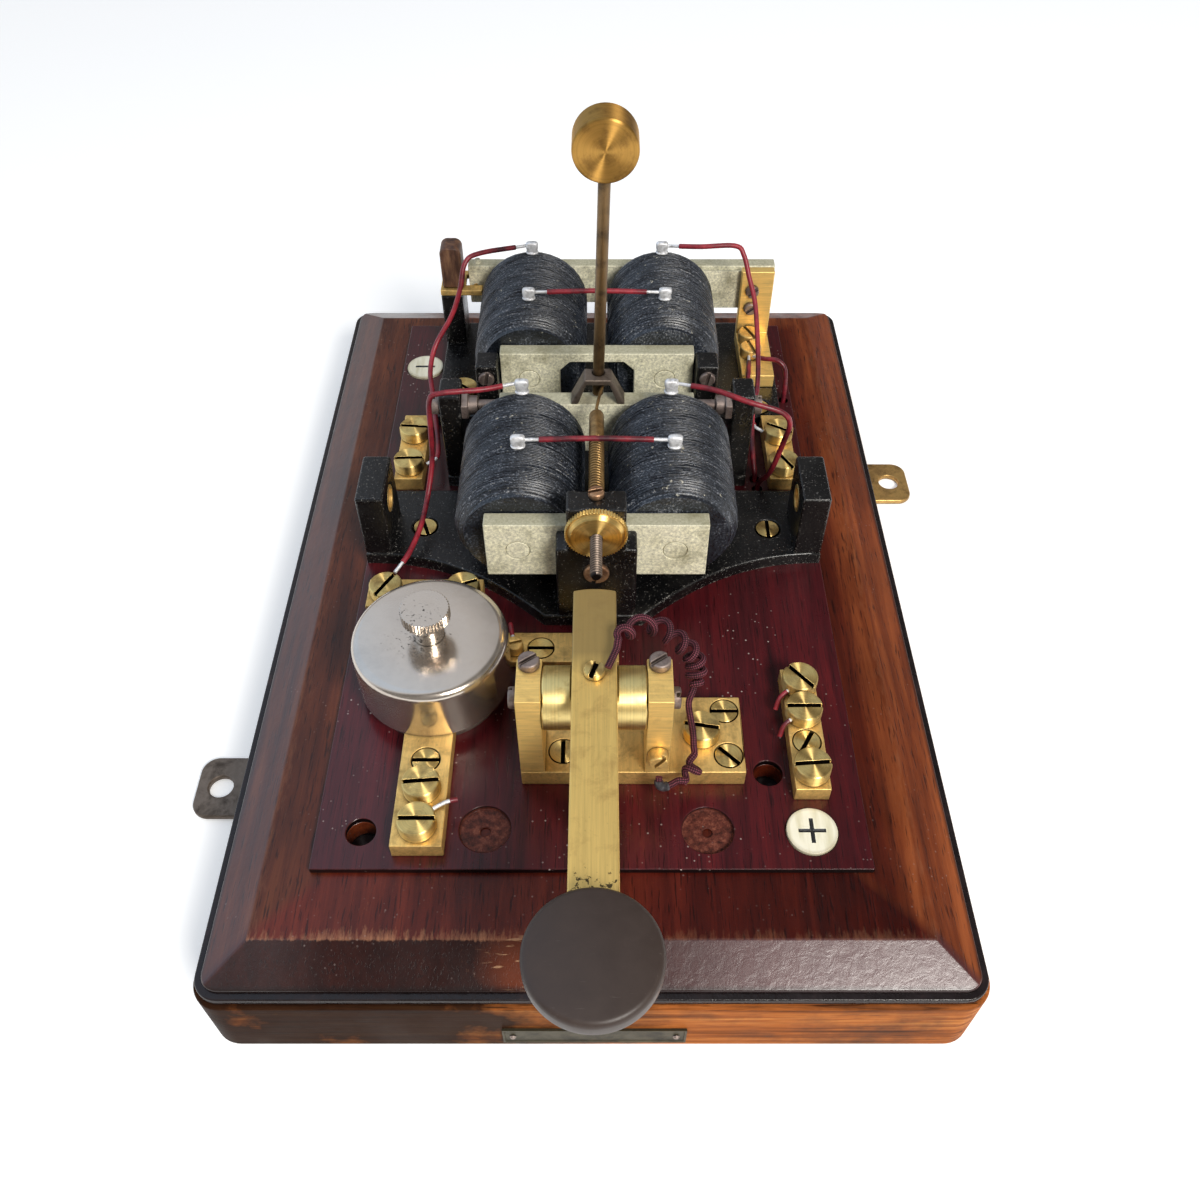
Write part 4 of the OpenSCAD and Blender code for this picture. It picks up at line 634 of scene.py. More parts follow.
def lead_red(name):
    """Rubbery red cover on the leads: crimson with a soft highlight, darkened to maroon in places."""
    material, add, place = start(name)
    tone = colours().cover
    cloud = add("noise", place, METRE / 14, 5.0, 0.65)
    tint = add("ramp", cloud, (0.36, "#3c0f1a"), (0.52, tone), (0.68, "#a82b38"))
    fine = add("noise", place, METRE / 0.8, 3.0)
    mottled = add("range", fine, *NOISE, 0.75, 1.15)
    tint = add("tint", 1.0, tint, mottled)
    rough = add("range", cloud, *NOISE, 0.32, 0.5)
    bump = add("bump", 0.25, 0.05 * MM, fine)
    return settle(material, tint, rough, bump, {"IOR": 1.52})


def flex_braid(name):
    """Woven maroon cotton over the flex: crossing threads, with painted shade in the weave's hollows and a
    painted pink highlight on its crowns, faded in patches.
    """
    material, add = begin(name)
    tone = colours().braid
    surface = add("uv")
    # Threads cross about every half millimetre along the flex and eight times round it
    wound = add("stretch", surface, (190, 4, 1))
    along = add("x", wound)
    about = add("y", wound)
    one = add("times", add("plus", along, about), 2 * math.pi)
    two = add("times", add("minus", along, about), 2 * math.pi)
    weave = add("times", add("sine", one), add("sine", two))
    crown = add("range", weave, -0.7, 0.7)
    # The ramp paints shade into the hollows of the weave and a pink highlight onto its crowns
    tint = add("ramp", crown, (0.15, shade(tone, 0.3)), (0.55, tone), (0.95, "#7d3f4d"))
    place = add("place")
    cloud = add("noise", place, METRE / 5, 5.0)
    faded = add("range", cloud, 0.35, 0.65, 0.6, 1.25)
    tint = add("tint", 1.0, tint, faded)
    bump = add("bump", 0.6, 0.15 * MM, crown)
    return settle(material, tint, 0.75, bump, {"Specular IOR Level": 0.3})


def tinned(name):
    """Tinned wire and solder: white silver, lumpy, softly bright."""
    material, add, place = start(name)
    lumps = add("noise", place, METRE / 1.4, 5.0, 0.6)
    tint = add("ramp", lumps, (0.3, "#b9b8b6"), (0.55, "#e6e7ea"), (0.75, "#f6f6f4"))
    rough = add("range", lumps, *NOISE, 0.38, 0.6)
    bump = add("bump", 0.6, 0.25 * MM, lumps)
    return settle(material, tint, rough, bump, {"Metallic": 0.5})


def screw_steel(name):
    """Clamp screws and small steel: purple grey brown, lightly rusted, dull."""
    return brushed(name, "#94867f", "#665550", "#1f1815", (900, 900, 900), 0.46, 0.44, 0.6)


def copper_screw(name):
    """Old screws gone copper brown."""
    return brushed(name, "#b08a6a", "#6d4c3a", "#241812", (900, 900, 900), 0.48, 0.32, 0.5)


def spring_bronze(name):
    """Spring wire and plug: bronze gold, bright on the crowns."""
    return brushed(name, "#9a7a4c", "#6a5033", "#1e150f", (900, 900, 900), 0.48, 0.3, 0.45)


def iron_plate(name):
    """Left fixing plate: brown black iron, rust in patches, rubbed pale round its hole."""
    return brushed(name, "#7a6d62", "#4a4038", "#1f1b18", (500, 500, 500), 0.5, 0.45, 0.62)


def plate_brass(name):
    """Right fixing plate: old yellow brass, stained brown."""
    return brushed(name, "#cba565", "#80643f", "#3a2a1c", (500, 500, 500), 0.46, 0.34, 0.55)


def strip_bronze(name):
    """Bare strip on the front edge: dark olive bronze with a paler rubbed border."""
    return brushed(name, "#443e2b", "#28241a", "#14120d", (100, 900, 900), 0.44, 0.45, 0.6, metal=0.5)


def block_fibre(name):
    """Contact block: brown vulcanised fibre, streaked and chipped."""
    material, add, place = start(name)
    lines = add("stretch", place, (420, 420, 90))
    grain = add("noise", lines, 1.0, 6.0, 0.65)
    tint = add("ramp", grain, (0.3, "#2e1a14"), (0.5, "#5f4030"), (0.72, "#8c6648"))
    rough = add("range", grain, *NOISE, 0.42, 0.65)
    bump = add("bump", 0.4, 0.1 * MM, grain)
    return settle(material, tint, rough, bump)


def dusting(add, place, tint, amount):
    """Scatters pale specks of dust, about half a millimetre across, thicker in some places."""
    specks = add("cells", place, METRE / 2.4)
    chance = add("noise", place, METRE / 16, 3.0)
    thick = add("range", chance, 0.48, 0.66, 0.0, amount)
    dust = add("range", specks, 0.15, 0.08)
    dusty = add("times", dust, thick)
    return add("mix", dusty, tint, "#b9a9a2")


def shade_and_lacquer_marks(add, place, tint):
    """Paints shade on the lever behind its screw, and leaves flakes of black lacquer by the knob."""
    y = add("y", place)
    # Painted shade darkens the lever behind its screw
    painted_tail_shade = add("range", y, -0.094, -0.086, 0.0, 0.8)
    tint = add("mix", painted_tail_shade, tint, "#9a8252")
    chips = add("noise", place, METRE / 2.2, 5.0, 0.7)
    by_knob = add("range", y, -0.144, -0.162, -0.2, 0.12)
    flake = add("range", add("plus", chips, by_knob), 0.6, 0.64, 0.0, 0.9)
    return add("mix", flake, tint, "#1d1714")


def rod_bronze(name):
    """Hammer rod: bronze gone dark brown, rubbed yellow in streaks."""
    return brushed(name, "#735c3e", "#463828", "#1c1512", (900, 900, 70), 0.46, 0.26, 0.4, spotted=0.1)


def sleeve_grey(name):
    """Sleeve on the flex's end: dark grey rubber, cracked and chalky."""
    material, add, place = start(name)
    cloud = add("noise", place, METRE / 2.5, 6.0, 0.7)
    tint = add("ramp", cloud, (0.35, "#1e1d20"), (0.55, "#37363a"), (0.72, "#66646a"))
    rough = add("range", cloud, *NOISE, 0.4, 0.65)
    bump = add("bump", 0.4, 0.06 * MM, cloud)
    return settle(material, tint, rough, bump)


def painted_groove_shade(add, place, tint):
    """Painted shade in the thread's grooves, by the distance from the screw's axis."""
    off = add("away", place, (TENSION_X * MM, 0, TENSION_Z * MM))
    flat = add("masked", off, (1, 0, 1))
    reach = add("length", flat)
    groove_shade = add("range", reach, 1.86 * MM, 1.5 * MM)
    return add("mix", groove_shade, tint, "#1a1310")


def thread_steel(name):
    """Adjusting screw: grey brown steel, with painted black shade in the grooves between its threads."""
    return brushed(name, "#85766a", "#63554b", "#241d18", (900, 900, 900), 0.46, 0.42, 0.55,
                   marks=painted_groove_shade)


FINISHES = {f.__name__: f for f in (
    panel_mahogany, board_mahogany, plinth_mahogany, bead_black,
    bar_brass, key_brass, lever_brass, screw_brass, drum_brass, head_brass, nut_brass, nickel_plate,
    cream_plating, japan_black, cotton_winding, knob_ebonite, disc_ivory, lead_red, flex_braid,
    sleeve_grey, tinned, screw_steel, thread_steel, copper_screw, spring_bronze, rod_bronze, iron_plate,
    plate_brass, strip_bronze, block_fibre)}


def finish(name):
    """The finish of that name, made the first time that it is wanted."""
    return bpy.data.materials.get(name) or FINISHES[name](name)


def dress(name, shape, body, finishes, nodes=(), smooth=50):
    """Makes a shape a piece that rides on a body, and stands for the CAD nodes named."""
    mesh = bpy.data.meshes.new(name)
    shape.to_mesh(mesh)
    shape.free()
    return place_mesh(name, mesh, body, finishes, nodes, smooth)


def place_mesh(name, mesh, body, finishes, nodes=(), smooth=50):
    """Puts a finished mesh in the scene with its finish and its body."""
    mesh.materials.clear()
    for each in [finishes] if isinstance(finishes, str) else finishes:
        mesh.materials.append(finish(each))
    mesh.shade_smooth()
    mesh.set_sharp_from_angle(angle=math.radians(smooth))
    made = bpy.data.objects.new(name, mesh)
    bpy.context.scene.collection.objects.link(made)
    if body:
        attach(made, body)
    if nodes:
        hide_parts(*nodes)
    return made


def softened(node, width, finishes, body="base", angle=30, among=None, segments=2):
    """Copies a CAD node with its sharp edges rounded, and lets the copy stand for the node."""
    shape = bmesh.new()
    shape.from_mesh(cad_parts[node].data)
    bmesh.ops.remove_doubles(shape, verts=shape.verts, dist=2e-6)
    bmesh.ops.dissolve_limit(shape, angle_limit=math.radians(0.5), verts=shape.verts, edges=shape.edges)
    least = math.radians(angle)
    sharp = [e for e in shape.edges if len(e.link_faces) == 2 and e.calc_face_angle(0.0) > least
             and (among is None or among(e))]
    bmesh.ops.bevel(shape, geom=sharp, offset=width, offset_type="OFFSET", segments=segments, profile=0.5,
                    affect="EDGES", clamp_overlap=False, material=-1)
    made = dress(node + "_dressed", shape, body, finishes, (node,))
    made.modifiers.new("flat faces", "WEIGHTED_NORMAL").keep_sharp = True
    return made


def note_axes(made, centres, rim=0.0):
    """Keeps each point's place from its nearest turning centre, and the radius that a slot lies in."""
    kinds = made.data.attributes
    kinds.new("own", "FLOAT_VECTOR", "POINT")
    kinds.new("rim", "FLOAT", "POINT")
    own, edge = kinds["own"], kinds["rim"]
    middles = [Vector(c) * MM for c in centres]
    for point, kept, reach in zip(made.data.vertices, own.data, edge.data):
        near = min(middles, key=lambda m: (point.co - m).length_squared)
        kept.vector = point.co - near
        reach.value = rim * MM


def lathe(profile, steps=96):
    """Turns a profile of radius and height, in millimetres, about Z."""
    shape = bmesh.new()
    line = [shape.verts.new((r * MM, 0, h * MM)) for r, h in profile]
    for a, b in zip(line, line[1:]):
        shape.edges.new((a, b))
    bmesh.ops.spin(shape, geom=shape.verts[:] + shape.edges[:], cent=(0, 0, 0), axis=(0, 0, 1),
                   angle=2 * math.pi, steps=steps, use_merge=True)
    bmesh.ops.remove_doubles(shape, verts=shape.verts, dist=1e-7)
    bmesh.ops.recalc_face_normals(shape, faces=shape.faces)
    return shape


def swept(shape, pitch, turns, steps):
    """Winds an outline round Y, one pitch in millimetres forward at each turn."""
    bmesh.ops.spin(shape, geom=shape.verts[:] + shape.edges[:], cent=(0, 0, 0), axis=(0, 1, 0),
                   dvec=(0, pitch * MM / steps, 0), angle=2 * math.pi * turns, steps=steps * turns)


def moved(shape, x, y, z):
    """Moves a shape, in millimetres."""
    bmesh.ops.transform(shape, matrix=Matrix.Translation(Vector((x, y, z)) * MM), verts=shape.verts)
    return shape


def laid_down(shape):
    """Turns a shape made along Z so that it lies along Y."""
    level = Matrix.Rotation(math.radians(-90), 3, "X")
    bmesh.ops.rotate(shape, verts=shape.verts, cent=(0, 0, 0), matrix=level)
    return shape


def absorb(shape, other):
    """Takes another shape into the first."""
    mesh = bpy.data.meshes.new("absorbed")
    other.to_mesh(mesh)
    other.free()
    shape.from_mesh(mesh)
    bpy.data.meshes.remove(mesh)


def route_at(points, t):
    """A point on the smooth line through a route's points."""
    last = len(points) - 1
    i = min(max(int(math.floor(t)), 0), last - 1)
    f = t - i
    b, c = points[i], points[i + 1]
    a = points[i - 1] if i > 0 else 2 * b - c
    d = points[i + 2] if i + 2 <= last else 2 * c - b
    bend = 2 * a - 5 * b + 4 * c - d
    twist = 3 * b - a - 3 * c + d
    return 0.5 * (2 * b + (c - a) * f + bend * f * f + twist * f ** 3)


def smooth_route(route, steps):
    """Points close together along a route."""
    points = [Vector(p) for p in route]
    return [route_at(points, i / steps) for i in range((len(points) - 1) * steps + 1)]


def evened(points, gap):
    """The same line with its points set at even gaps, so a covering keeps its scale."""
    reach = [0.0]
    for a, b in zip(points, points[1:]):
        reach.append(reach[-1] + (b - a).length)
    count = max(2, round(reach[-1] / gap))
    even, i = [], 0
    for k in range(count + 1):
        want = reach[-1] * k / count
        while i < len(points) - 2 and reach[i + 1] < want:
            i += 1
        span = reach[i + 1] - reach[i]
        even.append(points[i].lerp(points[i + 1], (want - reach[i]) / span if span else 0.0))
    return even


def tube(points, diameter, sides=3):
    """A round tube along points given in millimetres, with its UV along and round it."""
    curve = bpy.data.curves.new("tube", "CURVE")
    curve.dimensions = "3D"
    curve.bevel_depth = diameter / 2
    curve.bevel_resolution = sides
    curve.use_fill_caps = True
    line = curve.splines.new("POLY")
    line.points.add(len(points) - 1)
    for knot, p in zip(line.points, points):
        knot.co = (p[0] * MM, p[1] * MM, p[2] * MM, 1.0)
    holder = bpy.data.objects.new("tube", curve)
    bpy.context.scene.collection.objects.link(holder)
    mesh = bpy.data.meshes.new_from_object(holder.evaluated_get(bpy.context.evaluated_depsgraph_get()))
    bpy.data.objects.remove(holder)
    bpy.data.curves.remove(curve)
    return mesh


def joined(meshes, name):
    """One mesh out of several tubes."""
    shape = bmesh.new()
    for mesh in meshes:
        shape.from_mesh(mesh)
        bpy.data.meshes.remove(mesh)
    bmesh.ops.remove_doubles(shape, verts=shape.verts, dist=1e-7)
    whole = bpy.data.meshes.new(name)
    shape.to_mesh(whole)
    shape.free()
    return whole


def finish_node(node, name):
    """Gives a CAD node that stays in sight its finish."""
    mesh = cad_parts[node].data
    mesh.materials.clear()
    mesh.materials.append(finish(name))


FLEX_ROUTE = [(4.6, -93, 89.6), (7, -88, 91.4), (9, -81, 91), (18.8, -71, 82), (26.4, -71.4, 75),
              (31.3, -72.6, 69), (32.4, -75.4, 64.4), (31.6, -79, 61), (30, -83, 58.6), (30.4, -88, 57.2),
              (31, -93, 56), (31, -98, 53.6), (30.6, -103, 52.4), (27, -106, 51.6), (22.4, -108, 50.6),
              (20.2, -109, 53), (20, -107.6, 55.2)]

# Coil leads first, each from its solder tag, then the bracket's two wires
LEAD_ROUTES = [
    [(-22.1, -0.5, 94.6), (1.2, -0.5, 95.2), (24.5, -0.5, 94.6)],
    [(-22.1, 86.5, 94.6), (1.2, 86.5, 95.2), (24.5, 86.5, 94.6)],
    [(-28.5, 29.5, 94.6), (-39, 25, 95.6), (-53, 22.5, 96), (-57.4, 22.5, 93), (-58.4, 22, 80),
     (-59.4, 21, 66), (-61.5, 13, 55.4), (-63, 0, 53), (-66, -12, 51.6), (-69.6, -18.4, 50)],
    [(-28.5, 119.5, 94.6), (-46, 110, 97), (-51.5, 106, 95), (-54, 101, 86), (-58, 98, 76), (-65, 92, 66),
     (-67, 83, 60), (-65.5, 73, 56), (-63, 58, 52), (-61.5, 48, 50.4), (-61.4, 42, 49.4),
     (-64, 39.4, 49)],
    [(30.9, 29.5, 94.6), (42.5, 25, 95.4), (54.5, 20, 94), (65.5, 18.5, 91), (69.4, 18.5, 86),
     (69, 21, 76), (66.5, 25, 57), (64.4, 31, 47), (64, 33, 42), (64, 33, 37.2)],
    [(30.9, 119.5, 94.6), (43, 116, 96.4), (57, 115.6, 97), (60.6, 113.4, 94), (63, 108.6, 87),
     (65.4, 102, 80), (66.2, 93, 73), (66.4, 81, 65), (65.4, 70, 60), (63.4, 62, 56.4), (62.6, 52, 51.6),
     (62.8, 44, 47), (63.4, 39.6, 43), (63.5, 38.5, 37.2)],
    [(68, 99.8, 54.4), (70.6, 95.6, 56.6), (76.4, 93, 57.4), (79.6, 91, 54.6), (80.2, 88.4, 48),
     (80.2, 87.7, 42), (80.2, 87.7, 37.2)],
    [(65.4, 99.8, 54), (64.6, 92, 54.2), (63.8, 85, 53), (62.8, 75, 50.8), (63.2, 66, 50.2),
     (64.6, 60.4, 49.6), (66.6, 58.6, 49.2)]]

TERMINALS = [(67.6, -67.1, 51.8), (67.6, -78.9, 51.8), (67.6, -100.3, 51.8), (-51.8, -106.6, 51.8),
             (-51.8, -119.4, 51.8), (34.2, -87.2, 52.8), (-72, 39, 51.8), (-72, 58, 51.8),
             (73.8, 38.5, 51.8), (73.8, 57, 51.8), (-54.6, 85, 50.8), (-72.6, -26.8, 51.8),
             (-45.5, -26.8, 51.8)]
FLUSHES = [(67.6, -89.4, 47), (-51.8, -96.2, 47), (42.2, -78.4, 48), (42.4, -95.2, 48), (-9.1, -93.7, 48),
           (-17.7, -49.3, 44), (-62.8, 7, 46), (64.8, 6, 46), (-56.6, 77, 46), (68.2, 77.4, 46)]
DISCS = [(66.4, -118, 41.8), (-74, 110, 41.8)]
COIL_XS = {"left": -25.3, "right": 27.7}
COIL_YS = {"bell": -21.5, "relay": 71.5}
COIL_Z = 69.0
# Where the board's bevel starts, from the middle
RIDGE_X, RIDGE_Y = 98.1, 150.8
# The key's middle line, its drum and its knob, and the axis of the tension screw and spring
KEY_X, DRUM_Y, KNOB_Y = 0.8, -93.6, -180.3
TENSION_X, TENSION_Z = 1.2, 88.0

# Cut ends of old wires, each from under a terminal screw
STUB_ROUTES = [
    [(-47.6, -114.2, 48.0), (-44.6, -112.6, 48.6), (-42.4, -111.8, 48.7), (-40.6, -111.2, 48.3)],
    [(64.4, -70.2, 48.6), (62.6, -71.6, 48.7), (60.6, -73.2, 47.4), (59.4, -75.4, 44.6)],
    [(64.0, -81.8, 48.6), (62.2, -83.0, 48.7), (60.6, -84.2, 47.4), (59.6, -86.0, 44.8)],
    [(-27.0, -47.6, 45.6), (-27.6, -45.4, 46.4), (-28.0, -43.4, 47.0), (-28.4, -41.0, 46.6)]]


class BELL_OT_stage(Operator):
    """Sets the camera, the pale floor and the soft light"""
    bl_idname = "block_bell.stage"
    bl_label = "Stage"

    def execute(self, context):
        scene = context.scene
        camera = bpy.data.cameras.new("camera")
        camera.sensor_width = 36.0
        camera.lens = 33.0
        seen = bpy.data.objects.new("camera", camera)
        seen.location = (0.0024, -0.28377, 0.33729)
        seen.rotation_euler = (math.radians(41.1215), 0, 0)
        scene.collection.objects.link(seen)
        scene.camera = seen
        scene.view_settings.view_transform = "Standard"
        shape = bmesh.new()
        bmesh.ops.create_grid(shape, x_segments=1, y_segments=1, size=4.0)
        mesh = bpy.data.meshes.new("floor")
        shape.to_mesh(mesh)
        shape.free()
        floor = bpy.data.objects.new("floor", mesh)
        scene.collection.objects.link(floor)
        paper, add = begin("white_paper")
        # Seen straight on or in polished metal, the paper is a little whiter than the light makes it
        rays = [add(kind) for kind in ("camera_ray", "glossy_ray", "through_ray")]
        straight = add("plus", add("plus", rays[0], rays[1]), rays[2])
        lift = add("range", straight, 0.0, 1.0, 0.0, 0.32)
        join(paper.node_tree, paper.node_tree.nodes["Principled BSDF"], {
            "Base Color": (0.93, 0.92, 0.9, 1), "Roughness": 0.9, "Specular IOR Level": 0.2,
            "Emission Color": (1, 1, 1, 1), "Emission Strength": lift})
        mesh.materials.append(paper)
        # The room is brightest overhead and to the left, as under a wide window, and dim at the right
        world = bpy.data.worlds.new("studio")
        world.use_nodes = True
        add = adder(world.node_tree)
        way = add("generated")
        lit = add("dot", way, (-0.9, 0, 0.8))
        ahead = add("times", add("y", way), 0.8)
        lit = add("plus", lit, add("smaller", ahead, 0.0))
        glow = add("ramp", lit, (0.0, (0.26, 0.25, 0.24, 1)), (0.45, (0.14, 0.13, 0.12, 1)),
                   (0.6, (0.34, 0.34, 0.35, 1)), (0.71, (0.82, 0.82, 0.84, 1)), (0.9, (0.72, 0.88, 1.1, 1)))
        join(world.node_tree, world.node_tree.nodes["Background"], {"Color": glow, "Strength": 1.0})
        scene.world = world
        lamp = bpy.data.lights.new("front right lamp", "AREA")
        lamp.shape = "SQUARE"
        lamp.size = 0.4
        lamp.energy = 20.0
        lamp.color = (1.0, 0.965, 0.91)
        hung = bpy.data.objects.new("front right lamp", lamp)
        hung.location = (0.52, -0.94, 1.0)
        hung.rotation_euler = (Vector((0, 0, 0.05)) - hung.location).to_track_quat("-Z", "Y").to_euler()
        scene.collection.objects.link(hung)
        return {"FINISHED"}


class BELL_OT_flex(Operator):
    """Lays the curly braided flex from the lever's screw to the cheek's screw, with its end sleeve"""
    bl_idname = "block_bell.flex"
    bl_label = "Curly flex"

    def execute(self, context):
        size = sizes()
        route = [Vector(p) for p in FLEX_ROUTE]
        lean = Vector((1, 0.5, 0.5)).normalized()

        def ramp(t, a, b):
            f = min(1.0, max(0.0, (t - a) / (b - a)))
            return f * f * (3 - 2 * f)

        # Nine curls lie on the upper part of the flex, and two smaller ones near its lower end
        points, spans, steps = [], len(route) - 1, 480
        for i in range(steps + 1):
            t = spans * i / steps
            way = (route_at(route, t + 0.02) - route_at(route, t - 0.02)).normalized()
            out = (lean - lean.dot(way) * way).normalized()
            turn = 2 * math.pi * (9 * min(1.0, max(0.0, (t - 1.4) / 5.8)) + 2 * ramp(t, 10.6, 13.6))
            curl = size.curl_r / MM * (ramp(t, 1.4, 2.4) * (1 - ramp(t, 6.2, 7.2))
                                       + 0.8 * ramp(t, 10.6, 12) * (1 - ramp(t, 12.2, 13.6)))
            round_way = math.cos(turn) * out + math.sin(turn) * way.cross(out)
            points.append(route_at(route, t) + curl * round_way)
        points = evened(points, 0.6)
        made = place_mesh("flex", tube(points, size.flex_d, 2), None, "flex_braid",
                          ("curly_flex",))
        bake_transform(made, "base", "key", start=Vector((18.8, -71, 82)) * MM, end=Vector((4.6, -93, 89.6)) * MM)
        place_mesh("flex_sleeve", tube(points[-12:-2], size.flex_d * 1.3), "base", "sleeve_grey")
        return {"FINISHED"}


class BELL_OT_woodwork(Operator):
    """Dresses the plinth, the bead, the board and the panel"""
    bl_idname = "block_bell.woodwork"
    bl_label = "Woodwork"

    def execute(self, context):
        edge = sizes().wood_edge
        softened("base_plinth", edge * 1.3, "plinth_mahogany", segments=3)
        softened("base_bead", edge * 0.7, "bead_black")
        softened("base_board", edge * 0.6, "board_mahogany", angle=15)
        softened("movement_panel", edge * 0.5, "panel_mahogany")
        return {"FINISHED"}


class BELL_OT_plates(Operator):
    """Dresses the fixing plates, the bare strip and the ivory discs"""
    bl_idname = "block_bell.plates"
    bl_label = "Plates and discs"

    def execute(self, context):
        edge = sizes().brass_edge
        softened("fixing_plate_iron", edge * 2, "iron_plate")
        softened("fixing_plate_brass", edge * 2, "plate_brass")
        finish_node("fixing_screws", "screw_steel")
        low, high = (Vector(v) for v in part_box("strip_plate"))
        shape = bmesh.new()
        bmesh.ops.create_cube(shape, size=1.0)
        bmesh.ops.scale(shape, verts=shape.verts, vec=high - low)
        bmesh.ops.translate(shape, verts=shape.verts, vec=(low + high) / 2)
        face = min(shape.faces, key=lambda f: f.calc_center_median().y)
        bmesh.ops.inset_region(shape, faces=[face], thickness=0.9 * MM, depth=0.0)
        bmesh.ops.inset_region(shape, faces=[face], thickness=0.25 * MM, depth=-0.3 * MM)
        dress("strip_plate_dressed", shape, "base", "strip_bronze", ("strip_plate",), smooth=20)
        finish_node("strip_pins", "screw_steel")
        note_axes(softened("ivory_discs", edge * 0.9, "disc_ivory", angle=60), DISCS)
        return {"FINISHED"}


class BELL_OT_terminals(Operator):
    """Dresses the terminal bars and their screws"""
    bl_idname = "block_bell.terminals"
    bl_label = "Terminals"

    def execute(self, context):
        edge = sizes().brass_edge
        for node in ("line_bar", "earth_bar", "battery_bar", "coil_bars"):
            softened(node, edge, "bar_brass")
        note_axes(softened("terminal_screws", edge * 0.6, "screw_brass"), TERMINALS, 5.35)
        note_axes(softened("flush_screws", edge * 0.4, "screw_brass"), FLUSHES, 4.6)
        softened("small_screws", edge * 0.7, "bar_brass")
        return {"FINISHED"}


class BELL_OT_key(Operator):
    """Dresses the tapper key: plate, cheeks, drum, lever, screws and contacts"""
    bl_idname = "block_bell.key"
    bl_label = "Tapper key"

    def execute(self, context):
        edge = sizes().brass_edge
        softened("key_plate", edge, "bar_brass")
        softened("key_cheeks", edge, "key_brass")
        softened("key_screws", edge * 0.7, "screw_steel")
        note_axes(softened("key_drum", edge * 1.6, "drum_brass", "key"), [(KEY_X, DRUM_Y, 76)])
        softened("key_lever", edge * 1.4, "lever_brass", "key")
        note_axes(softened("lever_screw", edge * 0.8, "screw_brass", "key"),
                  [(KEY_X, DRUM_Y, 90.2)], 2.7)
        softened("back_contact", edge, "bar_brass")
        softened("front_contact", edge, "bar_brass")
        return {"FINISHED"}


class BELL_OT_knob(Operator):
    """Turns the ebonite knob"""
    bl_idname = "block_bell.knob"
    bl_label = "Knob"

    def execute(self, context):
        rim, top, lip = 16.7, 11.0, 1.9
        profile = [(0, 0), (10.35, 0), (10.35, 2.2), (10.8, 2.8), (12.4, 3.05), (rim - 2.4, 3.2)]
        for i in range(17):
            a = math.radians(-80 + 165 * i / 16)
            lift = 5.1 + math.sin(a) * lip + (2.6 if a > 0 else 0)
            profile.append((rim - lip + lip * math.cos(a), lift))
        profile += [(13.2, top - 1.02), (10.0, top - 0.62), (6.0, top - 0.22), (0, top)]
        shape = moved(lathe(profile), KEY_X, KNOB_Y, 88)
        spigot = moved(lathe([(0, 0), (3.0, 0), (3.0, 5.2), (0, 5.2)], 32), KEY_X, KNOB_Y, 83)
        absorb(shape, spigot)
        dress("knob", shape, "key", "knob_ebonite", ("key_knob",), smooth=60)
        return {"FINISHED"}


class BELL_OT_springs(Operator):
    """Winds the key's return spring and dresses the spring under its tail"""
    bl_idname = "block_bell.springs"
    bl_label = "Key springs"

    def execute(self, context):
        x, y, r, low, high, turns, steps = KEY_X, -112, 3.5, 41.15, 82.85, 6, 24
        points = [Vector((x + r, y, low)), Vector((x + r, y, low + 1))]
        for i in range(1, turns * steps):
            f = i / (turns * steps)
            a = 2 * math.pi * turns * f
            lift = low + 1 + (high - low - 2) * f
            points.append(Vector((x + r * math.cos(a), y + r * math.sin(a), lift)))
        points += [Vector((x + r, y, high - 1)), Vector((x + r, y, high))]
        made = place_mesh("return_spring", tube(points, 1.0 * MM), "base", "screw_steel",
                          ("key_spring",))
        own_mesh(made)
        softened("back_contact_spring", 0.2 * MM, "screw_steel")
        return {"FINISHED"}


class BELL_OT_magnets(Operator):
    """Dresses the cast frame, the yokes, the cores and their screws"""
    bl_idname = "block_bell.magnets"
    bl_label = "Frame and yokes"

    def execute(self, context):
        size = sizes()

        def above_foot(edge):
            heights = [v.co.z for v in edge.verts]
            return max(heights) > 46.1 * MM or min(heights) > 45.9 * MM

        softened("magnet_frame", size.cast_edge, "japan_black", among=above_foot)
        softened("frame_bushes", size.brass_edge, "bar_brass")
        softened("front_yoke", size.brass_edge * 1.3, "cream_plating")
        softened("rear_yoke", size.brass_edge * 1.3, "cream_plating")
        softened("cores", size.brass_edge, "cream_plating")
        softened("post_screws", size.brass_edge * 0.6, "copper_screw")
        softened("bridge_screws", size.brass_edge * 0.6, "screw_steel")
        return {"FINISHED"}


